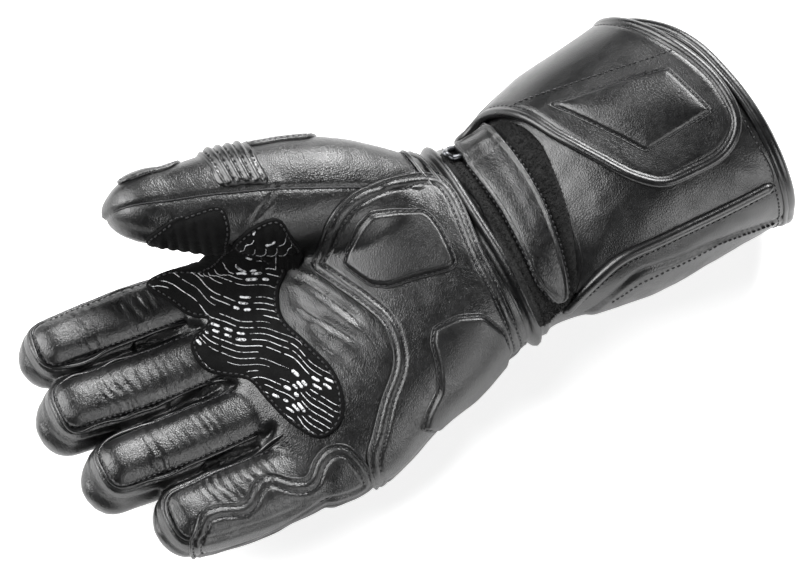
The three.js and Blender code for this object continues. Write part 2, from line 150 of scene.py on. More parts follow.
def unit(vectors):
    return vectors / np.maximum(np.linalg.norm(vectors, axis=-1, keepdims=True), 1e-9)


def lengths_along(points):
    steps = np.linalg.norm(np.diff(points, axis=0), axis=1)
    return np.concatenate([[0], np.cumsum(steps)])


def along_line(at, run, values):
    """Values of a line's points at other lengths along it."""
    return np.stack([np.interp(at, run, values[:, k]) for k in range(values.shape[1])], 1)


def evenly(points, step, closed=False):
    """The same line with points an even step apart."""
    points = np.asarray(points, float)
    if closed:
        points = np.concatenate([points, points[:1]])
    run = lengths_along(points)
    count = max(2, int(round(run[-1] / step)) + 1)
    at = np.linspace(0, run[-1], count)
    if closed:
        at = at[:-1]
    return along_line(at, run, points)


def curved(points, step=1.0, closed=False):
    """A smooth line through the given points."""
    points = np.asarray(points, float)
    if closed:
        wrapped = np.concatenate([points[-3:], points, points[:3]])
        run = lengths_along(wrapped)
        at = np.arange(run[3], run[len(points) + 3], step / 4)
        return evenly(smooth_through(run, wrapped, at), step, True)
    run = lengths_along(points)
    return evenly(smooth_through(run, points, np.arange(0, run[-1] + step / 8, step / 4)), step)


def softened(points, rounds, closed=True):
    """Rounds the corners of a line."""
    points = points.copy()
    for _ in range(rounds):
        mean = (np.roll(points, 1, 0) + np.roll(points, -1, 0)) / 2
        if closed:
            points = (points + mean) / 2
        else:
            points[1:-1] = (points[1:-1] + mean[1:-1]) / 2
    return points


def speckle(points, size, seed=0.0):
    """Smooth noise from -1 to 1 whose lumps are about size across."""
    offset = np.array([seed * 13.7, seed * 7.3, seed * 3.1])
    return np.array([noise.noise(Vector(p)) for p in (points / size + offset)])


# Meshes as arrays

def edges_of(faces):
    pairs = np.concatenate([np.stack([faces[:, k], faces[:, (k + 1) % faces.shape[1]]], 1)
                            for k in range(faces.shape[1])])
    return np.unique(np.sort(pairs, 1), axis=0)


def normals_of(points, faces):
    corner = [points[faces[:, k]] for k in range(faces.shape[1])]
    if len(corner) == 4:
        across = np.cross(corner[2] - corner[0], corner[3] - corner[1])
    else:
        across = np.cross(corner[1] - corner[0], corner[2] - corner[0])
    out = np.zeros_like(points)
    for k in range(faces.shape[1]):
        for axis in range(3):
            out[:, axis] += np.bincount(faces[:, k], across[:, axis], len(points))
    return unit(out)


def relaxed(points, edges, rounds, share=0.5):
    """Draws each point towards its neighbours. share is one number or one for each point."""
    count = len(points)
    degree = np.bincount(edges.ravel(), minlength=count).astype(float)
    degree[degree == 0] = 1
    share = share if np.isscalar(share) else np.asarray(share)[:, None]
    for _ in range(rounds):
        mean = np.stack([
            np.bincount(edges[:, 0], points[edges[:, 1], k], count)
            + np.bincount(edges[:, 1], points[edges[:, 0], k], count) for k in range(points.shape[1])
        ], 1) / degree[:, None]
        points = points + (mean - points) * share
    return points


def ring_edges(count):
    """The edges between the points of a closed line."""
    return np.stack([np.arange(count), np.roll(np.arange(count), -1)], 1)


def loft(rings):
    """Points and faces of a closed form through rings of equal count."""
    count, sides, _ = rings.shape
    points = np.concatenate([rings.reshape(-1, 3), rings[:1].mean(1), rings[-1:].mean(1)])
    grid = np.arange(count * sides).reshape(count, sides)
    after = np.roll(grid, -1, 1)
    faces = np.stack([grid[:-1], after[:-1], after[1:], grid[1:]], -1).reshape(-1, 4).tolist()
    first, last = count * sides, count * sides + 1
    faces += [(first, int(b), int(a)) for a, b in zip(grid[0], after[0])]
    faces += [(last, int(a), int(b)) for a, b in zip(grid[-1], after[-1])]
    return points, faces


def fused(parts, voxel):
    """One even skin of quads round several closed forms that overlap."""
    points, faces, start = [], [], 0
    for part_points, part_faces in parts:
        points.append(part_points)
        faces += [tuple(start + k for k in face) for face in part_faces]
        start += len(part_points)
    mesh = bpy.data.meshes.new("form")
    mesh.from_pydata(np.concatenate(points).tolist(), [], faces)
    form = bpy.data.objects.new("form", mesh)
    bpy.context.scene.collection.objects.link(form)
    remesh = form.modifiers.new("Skin", "REMESH")
    remesh.mode = "VOXEL"
    remesh.voxel_size = voxel
    depsgraph = bpy.context.evaluated_depsgraph_get()
    skin = bpy.data.meshes.new_from_object(form.evaluated_get(depsgraph))
    co = np.empty(len(skin.vertices) * 3)
    skin.vertices.foreach_get("co", co)
    corners = np.empty(len(skin.loops), int)
    skin.loops.foreach_get("vertex_index", corners)
    bpy.data.objects.remove(form)
    bpy.data.meshes.remove(mesh)
    bpy.data.meshes.remove(skin)
    return co.reshape(-1, 3), corners.reshape(-1, 4)


def tree_of(points, faces):
    return BVHTree.FromPolygons(points.tolist(), faces.tolist())


def near(points, line):
    """How far each point is from a line, and which of its points is nearest."""
    tree = KDTree(len(line))
    for k, p in enumerate(line):
        tree.insert(p, k)
    tree.balance()
    found = [tree.find(p)[1:] for p in points]
    return np.array([f[1] for f in found]), np.array([f[0] for f in found])


def snapped(tree, points):
    """The nearest places on a surface, and its normals there."""
    hits = [tree.find_nearest(Vector(p)) for p in points]
    return np.array([h[0] for h in hits]), np.array([h[1] for h in hits])


# Making a piece

def make_piece(name, points, faces, material, nodes=(), normals=None, smooth=True):
    """A mesh object in the frame, from points in drawing millimetres."""
    mesh = bpy.data.meshes.new(name)
    placed = np.array(points, float)
    placed[:, 2] = np.maximum(placed[:, 2], FLOOR_GAP)
    placed = (placed - MIDDLE) * MM
    faces = faces.tolist() if isinstance(faces, np.ndarray) else faces
    mesh.from_pydata(placed.tolist(), [], faces)
    mesh.polygons.foreach_set("use_smooth", np.full(len(mesh.polygons), smooth))
    if normals is not None:
        mesh.normals_split_custom_set_from_vertices(normals.tolist())
    mesh.materials.append(material)
    mesh.validate()
    mesh.update()
    piece = bpy.data.objects.new(name, mesh)
    bpy.context.scene.collection.objects.link(piece)
    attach(piece, "root")
    if nodes:
        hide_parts(*nodes)
    return piece


def leather_cover(node, points, faces, material, normals=None):
    """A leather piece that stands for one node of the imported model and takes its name."""
    return make_piece(node + "_leather", points, faces, material, [node], normals)


def shell(points, faces, normals, thickness):
    """A sheet of leather with a back face and edges."""
    used = np.unique(faces)
    place = np.full(len(points), -1)
    place[used] = np.arange(len(used))
    faces = place[faces]
    outer, side = points[used], normals[used]
    inner = outer - side * thickness
    inner[:, 2] = np.maximum(inner[:, 2], 0.4)
    count = len(used)
    pairs = np.concatenate([np.stack([faces[:, k], faces[:, (k + 1) % faces.shape[1]]], 1)
                            for k in range(faces.shape[1])])
    key = np.sort(pairs, 1)
    _, first, number = np.unique(key, axis=0, return_index=True, return_counts=True)
    rim = pairs[first[number == 1]]
    walls = np.stack([rim[:, 1], rim[:, 0], rim[:, 0] + count, rim[:, 1] + count], 1)
    everything = np.concatenate([outer, inner])
    all_faces = faces.tolist() + (faces[:, ::-1] + count).tolist() + walls.tolist()
    return everything, all_faces, np.concatenate([side, -side])


def tube(path, up, half_wide, half_high, sides=10, closed=False, taper=0):
    """A cord that follows a line. up is the surface's normal along it."""
    path = np.asarray(path, float)
    if closed:
        along = unit(np.roll(path, -1, 0) - np.roll(path, 1, 0))
    else:
        along = unit(np.gradient(path, axis=0))
    across = unit(np.cross(along, up))
    rise = unit(np.cross(across, along))
    wide = np.full(len(path), half_wide, float)
    high = np.full(len(path), half_high, float)
    if taper:
        run = lengths_along(path)
        share = np.sqrt(np.clip(np.minimum(run, run[-1] - run) / taper, 0.02, 1))
        wide, high = wide * share, high * share
    turn = np.linspace(0, 2 * math.pi, sides, endpoint=False)
    rings = (path[:, None] + across[:, None] * (np.cos(turn)[None, :, None] * wide[:, None, None])
             + rise[:, None] * (np.sin(turn)[None, :, None] * high[:, None, None]))
    count = len(path)
    grid = np.arange(count * sides).reshape(count, sides)
    after = np.roll(grid, -1, 1)
    below = np.roll(grid, -1, 0) if closed else grid[1:]
    below_after = np.roll(after, -1, 0) if closed else after[1:]
    top, top_after = (grid, after) if closed else (grid[:-1], after[:-1])
    faces = np.stack([top, below, below_after, top_after], -1).reshape(-1, 4).tolist()
    if not closed:
        faces += [grid[0].tolist(), grid[-1][::-1].tolist()]
    return rings.reshape(-1, 3), faces


def together(parts):
    """Several forms as one."""
    points, faces, start = [], [], 0
    for part_points, part_faces in parts:
        part_faces = part_faces.tolist() if isinstance(part_faces, np.ndarray) else part_faces
        points.append(part_points)
        faces += [tuple(start + int(k) for k in face) for face in part_faces]
        start += len(part_points)
    return np.concatenate(points), faces


# The hand's skin

def hand_rings(rows, xs, sides=96):
    low_y, high_y, low_z, high_z = smooth_through(rows[:, 0], rows[:, 1:], xs).T[..., None]
    turn = np.linspace(0, 2 * math.pi, sides, endpoint=False)
    y = between(low_y, high_y, rounded_power(np.cos(turn), BODY_SQUARENESS))
    z = between(low_z, high_z, rounded_power(np.sin(turn), BODY_SQUARENESS))
    slant = 0.08 * (20 - y) * eased((-62 - xs) / 18)[:, None]
    return np.stack([np.broadcast_to(xs[:, None], y.shape) + slant, y, on_floor(z)], -1)


def on_floor(z):
    return (z + np.sqrt(z * z + 0.3)) / 2


def limb(rows, tip, ease=0.0, squareness=2.2, step=1.5):
    """Stations along a finger or the thumb, with its rounded tip."""
    rows = np.array(rows, float)
    centre = rows[:, :3]
    run = lengths_along(centre)
    at = np.linspace(0, run[-1], max(4, int(run[-1] / step)))
    mid = smooth_through(run, rows, at)
    ahead = unit(centre[-1] - centre[-2])
    share = np.sin(np.linspace(0, math.pi / 2, 14))[1:]
    past = centre[-1] + ahead * (tip * share)[:, None]
    narrow = np.sqrt(np.maximum(0.01, 1 - share**squareness))
    centres = np.concatenate([mid[:, :3], past])
    along = unit(np.gradient(centres, axis=0))
    along[len(at):] = ahead
    side = unit(np.cross([0, 0, 1], along))
    return {
        "centre": centres, "along": along, "side": side, "up": np.cross(along, side),
        "across": np.concatenate([mid[:, 3] - ease, (rows[-1, 3] - ease) * narrow]),
        "deep": np.concatenate([mid[:, 4], rows[-1, 4] * narrow]),
        "full_across": np.concatenate([mid[:, 3], np.full(len(share), rows[-1, 3])]),
        "full_deep": np.concatenate([mid[:, 4], np.full(len(share), rows[-1, 4])]),
        "reach": np.concatenate([np.zeros(len(at)), NAIL_REACH * share]),
        "rows": len(at),
    }


def limb_points(form, turn, squareness=FINGER_SQUARENESS, stations=slice(None)):
    """Points on a limb at some turns, one row for each station."""
    c, s, u, a = (form[k][stations][:, None] for k in ("centre", "side", "up", "along"))
    wide, deep, reach = (form[k][stations][:, None, None] for k in ("across", "deep", "reach"))
    turn = np.atleast_2d(turn)[..., None]
    return (c + s * wide * rounded_power(np.cos(turn), squareness)
            + u * deep * rounded_power(np.sin(turn), squareness)
            + a * reach * np.maximum(0, -np.sin(turn)))


def limb_share(form, points):
    """Where points lie round a limb: shares of its half width and half depth, and its nearest station."""
    station = np.empty(len(points), int)
    for start in range(0, len(points), 4000):
        some = points[start:start + 4000]
        station[start:start + 4000] = np.argmin(((some[:, None] - form["centre"][None]) ** 2).sum(2), 1)
    offset = points - form["centre"][station]
    across = (offset * form["side"][station]).sum(1) / form["full_across"][station]
    up = (offset * form["up"][station]).sum(1) / form["full_deep"][station]
    ahead = (offset * form["along"][station]).sum(1)
    return across, up, station, ahead


def finger_seam(form, tree, first):
    """The seam round a finger's palm panel: its flat outline along the finger, and its line on the skin."""
    run = lengths_along(form["centre"])
    half = form["full_across"][-1] * SEAM_SHARE
    end = run[-1] - SEAM_FROM_TIP
    turn = np.linspace(0, math.pi, 41)
    tip_length = half * np.sin(turn) ** (2 / SEAM_SQUARENESS)
    tip = np.column_stack([end - half + tip_length, half * rounded_power(np.cos(turn), SEAM_SQUARENESS)])
    sides = np.arange(run[first], end - half, 1.0)
    wide = np.interp(sides, run, form["full_across"]) * SEAM_SHARE
    flat = np.concatenate([np.column_stack([sides, wide]), tip, np.column_stack([sides, -wide])[::-1]])
    flat = softened(evenly(flat, 0.8), 6, False)
    centre, side, up = (along_line(flat[:, 0], run, form[key]) for key in ("centre", "side", "up"))
    deep = np.interp(flat[:, 0], run, form["full_deep"])
    above = centre + side * flat[:, 1:] + up * (deep + 3)[:, None]
    line = [tree.ray_cast(Vector(p), Vector(-u))[0] for p, u in zip(above, up)]
    line = np.array([hit for hit in line if hit is not None])
    loop = np.concatenate([[[run[first] - 60, wide[0]]], flat, [[run[first] - 60, -wide[0]]]])
    return loop, softened(evenly(line, 0.8), 6, False)


# Where the gaps between the fingers run on into the palm
FINGER_GAPS = [
    [(-104, 23.5, 30), (-92, 21.8, 30), (-84, 20, 31), (-79, 17.5, 33), (-76.5, 15.5, 34)],
    [(-104, -3.5, 30), (-92, -5.5, 30), (-84, -7.6, 31), (-79, -9.8, 33), (-76.5, -11, 34)],
    [(-104, -33, 29), (-92, -34, 29), (-84, -34.5, 30), (-77, -33.5, 32), (-71, -32, 34)],
]
BACK_SHOWS = {"index": 1.2, "middle": 2.8, "ring": 3.0, "little": 0.3}
JOINT_CREASES = {"index": (-97, -119), "middle": (-100, -123), "ring": (-98, -120), "little": (-86, -105)}
# Folds of the palm leather between the grip panel and the heel, from the web of the thumb
PALM_FOLDS = [
    ([(-41.8, 17.5), (-36, 10.5), (-31.5, 0), (-27, -12), (-24.5, -22)], 0.8, 1.5),
    ([(-44.5, 9), (-40.5, -2), (-34.5, -13), (-28, -27)], 0.7, 1.7),
    ([(-43.5, -3), (-42, -14), (-38.5, -25), (-35, -34)], 0.4, 1.6),
]


def hand_skin():
    """The whole skin of the hand, the fingers and the thumb, before it is cut into panels."""
    if "hand" in made:
        return made["hand"]
    shape = bpy.context.scene.glove_shape
    fingers = {name: limb(rows, FINGERTIP, FINGER_EASE, 3.0) for name, rows in FINGERS.items()}
    thumb = limb(THUMB, THUMB_TIP)
    turn = np.linspace(0, 2 * math.pi, 56, endpoint=False)
    xs = np.concatenate([[-86], np.arange(-84, 34.1, 2)])
    parts = [loft(hand_rings(HAND, xs))]
    parts += [loft(limb_points(form, turn)) for form in fingers.values()]
    parts.append(loft(limb_points(thumb, turn)))
    points, faces = fused(parts, shape.voxel / MM)
    edges = edges_of(faces)
    points = relaxed(points, edges, 5)
    web = bell(points[:, 0] + 84, 7) * (points[:, 0] < -74)
    points = relaxed(points, edges, 10, web * 0.5)
    points = relaxed(points, edges, 14, 0.5 * eased((-128 - points[:, 0]) / 6))
    points = relaxed(points, edges, 24, 0.5 * eased((-84 - points[:, 0]) / 5) * (points[:, 2] > 46))
    x, y, z = points.T
    ball = eased((x + 34) / 9) * eased((34 - x) / 8) * eased((y + 12) / 10) * eased((30 - y) / 8) * (z > 36)
    points = relaxed(points, edges, 160, ball * 0.5)
    normals = normals_of(points, faces)
    if (normals[:, 2] * (points[:, 2] - 20)).sum() < 0:
        faces, normals = faces[:, ::-1], -normals

    # which limb each point belongs to, and where it is round it
    x, y, z = points.T
    shares = {name: limb_share(form, points) for name, form in fingers.items()}
    closeness = np.stack([a**2 + b**2 for a, b, _, _ in shares.values()])
    owner = closeness.argmin(0)
    on_finger = eased((-74 - x) / 12)
    thumb_across, thumb_up, _, _ = limb_share(thumb, points)
    in_thumb = (np.abs(thumb_across) ** 2.3 + np.abs(thumb_up) ** 2.3) ** (1 / 2.3)
    low_y, high_y, low_z, high_z = smooth_through(HAND[:, 0], HAND[:, 1:], x).T
    in_hand = (np.abs((2 * y - low_y - high_y) / (high_y - low_y)) ** 2.5
               + np.abs((2 * z - low_z - high_z) / (high_z - low_z)) ** 2.5) ** 0.4
    thumb_owns = (in_thumb < in_hand) & (y > 5) & (x < 30) & (closeness.min(0) > 1.3) | (z > 55) & (x < -20)
    move = np.zeros(len(points))

    # padded palm side of each finger, pinched at its seam, and creased at its joints
    seams = []
    tree = tree_of(points, faces)
    for k, (name, form) in enumerate(fingers.items()):
        first = int(np.argmin(np.abs(form["centre"][:, 0] + (82 if name != "little" else 74))))
        outline, seam = finger_seam(form, tree, first)
        seams.append(seam)
        mine = (owner == k) & (x < -66)
        a, b, station, ahead = shares[name]
        reach = lengths_along(form["centre"])[station] + ahead
        flat = np.column_stack([reach, a * form["full_across"][station]])
        far, _ = near(points[mine], seam)
        palm_side = eased(distance_to_loop(flat[mine], outline) / 1.2 + 0.5) * (b[mine] > 0)
        pad = (1 - bell(far, 4.5)) * palm_side * shape.puff / MM
        pinch = -shape.seam_depth / MM * bell(far, 1.0)
        lip = 0.3 * bell(far - 2.1, 0.9)
        crease = np.zeros(mine.sum())
        where = points[mine]
        wander = speckle(where, 14, k + 2.0) * 3 + speckle(where, 5, k + 5.0)
        for joint in JOINT_CREASES[name]:
            at_joint = bell(where[:, 0] - joint, 8.5)
            wave = np.abs(np.sin((where[:, 0] + wander + 0.05 * where[:, 1]) * math.pi / 3.6))
            crease -= at_joint * (1 - wave) ** 3 * 1.05 * (0.6 + 0.7 * speckle(where, 8, k + 3.0))
        fine = np.abs(np.sin((where[:, 0] + wander * 1.3) * math.pi / 3.1))
        crease -= (1 - fine) ** 3 * 0.45 * np.maximum(0, 0.35 + speckle(where, 10, k + 9.0))
        crease += 0.12 * speckle(where * [1, 0.35, 1], 3.6, k + 4.0)
        inside = eased(far / 3.5) * eased((where[:, 0] + 128 + 6 * (k == 1)) / 8)
        move[mine] += on_finger[mine] * (pad + pinch + lip + crease * inside * (0.15 + 0.85 * palm_side))

        behind = eased((0.1 - b[mine]) / 0.4) * eased((-112 - where[:, 0]) / 14)
        outward = np.maximum(0, normals[mine] @ np.array([-0.75, -0.66, 0]))
        move[mine] += behind * outward * BACK_SHOWS[name]

    # the gaps between the fingers, cut in further towards the palm
    for line in FINGER_GAPS:
        line = curved(line, 0.7)
        far, at = near(points, line)
        fade = eased((len(line) - 1 - at) / 9)
        move -= fade * 3.2 * bell(far, 1.7) * (z > 20)

    # folds of the palm and soft unevenness all over
    palm = (~thumb_owns) & (z > 28) & (x > -60) & (x < -5)
    for line, depth, width in PALM_FOLDS:
        line = curved(line, 0.7)
        above = np.array([tree.ray_cast(Vector((p[0], p[1], 120)), Vector((0, 0, -1)))[0] for p in line])
        far, at = near(points[palm], above)
        fade = eased(np.minimum(at, len(line) - 1 - at) / (len(line) * 0.28))
        move[palm] += fade * depth * (0.55 * bell(far - 2.1 * width, width) - bell(far, width * 0.8))
    calm = 1 - 0.7 * on_finger
    move += calm * 0.55 * speckle(points, 22, 1.0) + 0.16 * speckle(points, 6, 3.0)

    # the side seams of the hand, and the lapped seam of the thumb
    side_z = smooth_through(SIDE_SEAM[:, 0], SIDE_SEAM[:, 1], x)
    steep = np.sqrt(np.maximum(0.05, 1 - normals[:, 2] ** 2))
    to_side = np.abs(z - side_z) / steep
    move -= 0.8 * bell(to_side, 0.9) * (~thumb_owns)
    seam_y = smooth_through(THUMB_SEAM[:, 0], THUMB_SEAM[:, 1], x)
    past_seam = (y - seam_y) * 0.93
    lap = thumb_owns & (z > 40)
    move += lap * (0.6 * eased(past_seam / 0.9 + 0.5) - 0.5 * bell(past_seam + 0.8, 0.8))
    palm_seam = curved([(-30.6, 41.6, 68.8), (-35.6, 38.3, 69), (-42.3, 35.9, 67.9), (-53, 33, 60)], 0.7)
    far, at = near(points[lap], palm_seam)
    move[lap] += -0.7 * bell(far, 0.9) + 0.3 * bell(far - 2, 1.2)

    points = points + normals * move[:, None]
    points[:, 2] = on_floor(points[:, 2])
    points = relaxed(points, edges, 1, 0.25)
    normals = normals_of(points, faces)
    made["hand"] = {
        "points": points, "faces": faces, "normals": normals, "tree": tree_of(points, faces),
        "seams": seams, "thumb_owns": thumb_owns, "side_z": side_z, "seam_y": seam_y,
    }
    return made["hand"]


# The cuff's skin

# The lapped edge low on the cuff, on the little finger's side: x, z
LOW_STRIP = np.array([
    (56, 22), (60, 26), (66, 34), (74.5, 41.5), (96, 43.4), (113.6, 41.4), (137, 34), (150, 31),
], float)


def cuff_skin():
    if "cuff" in made:
        return made["cuff"]
    turns, steps = 240, 112
    turn = np.linspace(0, 2 * math.pi, turns, endpoint=False)
    guess = np.full(turns, 140.0)
    for _ in range(3):
        rows = smooth_through(CUFF[:, 0], CUFF[:, 1:], guess)
        y = between(rows[:, 0], rows[:, 1], rounded_power(np.cos(turn), BODY_SQUARENESS))
        guess = smooth_through(OPENING_EDGE[:, 0], OPENING_EDGE[:, 1], y)
    share = np.linspace(0, 1, steps)[:, None]
    x = CUFF[0, 0] + share * (guess[None] - CUFF[0, 0])
    rows = smooth_through(CUFF[:, 0], CUFF[:, 1:], x)
    low_y, high_y, low_z, high_z = (rows[..., k] for k in range(4))
    y = between(low_y, high_y, rounded_power(np.cos(turn), BODY_SQUARENESS))
    z = between(low_z, high_z, rounded_power(np.sin(turn), BODY_SQUARENESS))
    points = np.stack([x, y, on_floor(z)], -1).reshape(-1, 3)
    grid = np.arange(steps * turns).reshape(steps, turns)
    after = np.roll(grid, -1, 1)
    faces = np.stack([grid[:-1], after[:-1], after[1:], grid[1:]], -1).reshape(-1, 4)
    normals = normals_of(points, faces)
    if (normals[:, 2] * (points[:, 2] - 25)).sum() < 0:
        faces, normals = faces[:, ::-1], -normals
    x, y, z = points.T
    wander = speckle(points, 30, 4.0)
    # folds beside the wrist seam
    move = 1.3 * bell(x - 34.4 - wander, 1.7) + 0.7 * bell(x - 39.6 - 1.5 * wander, 1.4)
    move -= 1.0 * bell(x - 31.4, 1.0) + 0.9 * bell(x - 37.4 - wander, 1.3)
    # soft folds over the cuff
    loose = eased((x - 60) / 20)
    move += loose * (1.0 * speckle(points * [1, 0.45, 1], 20, 6.0) + 0.3 * speckle(points, 7, 8.0))
    # the lapped strip low on the side
    line = smooth_through(LOW_STRIP[:, 0], LOW_STRIP[:, 1], x)
    on_side = (y < -30) & (x > 56)
    gap = line - z
    move += on_side * (0.9 * eased(gap / 1.0 + 0.5) * eased((x - 57) / 4) - 0.4 * bell(gap + 1.1, 0.8))
    move -= 0.6 * bell(z - smooth_through(CUFF_SEAM[:, 0], CUFF_SEAM[:, 1], x), 0.8) * (y > 0)
    points = points + normals * move[:, None]
    points[:, 2] = on_floor(points[:, 2])
    normals = normals_of(points, faces)
    made["cuff"] = {
        "points": points, "faces": faces, "normals": normals, "grid": grid, "tree": tree_of(points, faces),
    }
    return made["cuff"]


# Pieces laid on the skin

class Round:
    """A flat layout wrapped round an axis: u runs along it and v round it, both in millimetres."""

    def __init__(self, tree, start, end, radius, side=(0, 1, 0), reach=140.0):
        self.tree, self.radius, self.reach = tree, radius, reach
        self.start = np.array(start, float)
        self.along = unit(np.array(end, float) - self.start)
        self.side = unit(np.array(side, float) - np.dot(side, self.along) * self.along)
        self.up = np.cross(self.along, self.side)
        if self.up[2] < 0:
            self.up = -self.up

    def flat(self, points):
        offset = np.asarray(points, float) - self.start
        turn = np.arctan2(offset @ self.up, offset @ self.side)
        turn = np.where(turn < -math.pi / 2, turn + 2 * math.pi, turn)
        return np.stack([offset @ self.along, turn * self.radius], 1)

    def lay(self, flat):
        """Where layout points fall on the surface, coming from outside."""
        reach = self.reach
        turn = flat[:, 1] / self.radius
        out = np.cos(turn)[:, None] * self.side + np.sin(turn)[:, None] * self.up
        axis = self.start + flat[:, :1] * self.along
        found = []
        for a, d in zip(axis, out):
            hit = self.tree.ray_cast(Vector(a + d * reach), Vector(-d), reach)[0]
            found.append(hit if hit is not None else self.tree.find_nearest(Vector(a + d * 40))[0])
        return np.array(found)


class Above:
    """A flat layout seen from above, over a height map that bridges the gaps between fingers."""

    def __init__(self, tree, low, high, bridge=5, rounds=6):
        self.tree, self.low = tree, np.array(low, float)
        self.start = np.array([(low[0] + high[0]) / 2, (low[1] + high[1]) / 2, -400.0])
        across, down = int(high[0] - low[0]) + 1, int(high[1] - low[1]) + 1
        height = np.full((across, down), -50.0)
        for i in range(across):
            for j in range(down):
                hit = tree.ray_cast(Vector((low[0] + i, low[1] + j, 150)), Vector((0, 0, -1)))[0]
                if hit is not None:
                    height[i, j] = hit[2]
        shifts = [(a, b) for a in range(-bridge, bridge + 1) for b in range(-bridge, bridge + 1)
                  if a * a + b * b <= bridge * bridge + 1]
        for pick in (np.maximum, np.minimum):
            padded = np.pad(height, bridge, mode="edge")
            height = pick.reduce([padded[bridge + a:bridge + a + across, bridge + b:bridge + b + down]
                                  for a, b in shifts])
        for _ in range(rounds):
            padded = np.pad(height, 1, mode="edge")
            beside = padded[2:, 1:-1] + padded[:-2, 1:-1] + padded[1:-1, 2:] + padded[1:-1, :-2]
            height = (height * 4 + beside) / 8
        self.height = height

    def flat(self, points):
        return np.asarray(points, float)[:, :2]

    def lay(self, flat):
        at = np.clip(flat - self.low, 0, np.array(self.height.shape) - 1.001)
        i, j = at.astype(int).T
        a, b = (at - at.astype(int)).T
        h = self.height
        z = (h[i, j] * (1 - a) * (1 - b) + h[i + 1, j] * a * (1 - b)
             + h[i, j + 1] * (1 - a) * b + h[i + 1, j + 1] * a * b)
        return np.column_stack([flat, z])


class Draped:
    """A flat layout seen from above that turns down round the little finger's side of the hand."""

    def __init__(self, tree, turn_y=-28.0, turn_z=12.0, radius=34.0):
        self.tree, self.turn_y, self.turn_z, self.radius = tree, turn_y, turn_z, radius
        self.start = np.array([-15.0, -10.0, -60.0])

    def flat(self, points):
        points = np.asarray(points, float)
        lean = np.arctan2(self.turn_y - points[:, 1], points[:, 2] - self.turn_z)
        return np.column_stack([points[:, 0], np.where(points[:, 1] > self.turn_y, points[:, 1],
                                                       self.turn_y - lean * self.radius)])

    def lay(self, flat):
        lean = np.maximum(0, (self.turn_y - flat[:, 1]) / self.radius)
        out = np.column_stack([np.zeros(len(flat)), -np.sin(lean), np.cos(lean)])
        foot_y = np.maximum(flat[:, 1], self.turn_y)
        foot = np.column_stack([flat[:, 0], foot_y, np.full(len(flat), self.turn_z)])
        found = []
        for a, d in zip(foot, out):
            hit = self.tree.ray_cast(Vector(a + d * 120), Vector(-d), 120)[0]
            found.append(hit if hit is not None else self.tree.find_nearest(Vector(a + d * 34))[0])
        return np.array(found)


def outline_on(tree, outline):
    """Outline points on the skin. Each is x, y seen from above, or x, y, z close to it."""
    placed = []
    for p in outline:
        if len(p) == 3:
            hit = tree.find_nearest(Vector(p))[0]
        else:
            hit = tree.ray_cast(Vector((p[0], p[1], 150)), Vector((0, 0, -1)))[0]
        placed.append(hit if hit is not None else tree.find_nearest(Vector((*p, 30)[:3]))[0])
    return np.array(placed)


def distance_to_loop(points, loop):
    """Distance of flat points to a closed line, positive inside."""
    a, b = loop, np.roll(loop, -1, 0)
    best = np.full(len(points), 1e9)
    inside = np.zeros(len(points), bool)
    for start, end in zip(a, b):
        edge = end - start
        t = np.clip(((points - start) @ edge) / max(edge @ edge, 1e-9), 0, 1)
        best = np.minimum(best, np.linalg.norm(points - start - t[:, None] * edge, axis=1))
        crosses = (start[1] > points[:, 1]) != (end[1] > points[:, 1])
        with np.errstate(divide="ignore", invalid="ignore"):
            at = start[0] + (points[:, 1] - start[1]) * edge[0] / edge[1]
        inside ^= crosses & (points[:, 0] < at)
    return np.where(inside, best, -best)


def drawn_in(loop, margin):
    """A closed flat line moved inwards, without the knots that this leaves at corners."""
    area = (loop[:, 0] * np.roll(loop[:, 1], -1) - np.roll(loop[:, 0], -1) * loop[:, 1]).sum()
    along = unit(np.roll(loop, -1, 0) - np.roll(loop, 1, 0))
    inward = np.stack([-along[:, 1], along[:, 0]], 1) * (1 if area > 0 else -1)
    moved = loop + inward * margin
    fits = distance_to_loop(moved, loop) > abs(margin) * 0.93 if margin > 0 else np.ones(len(loop), bool)
    return moved[fits]


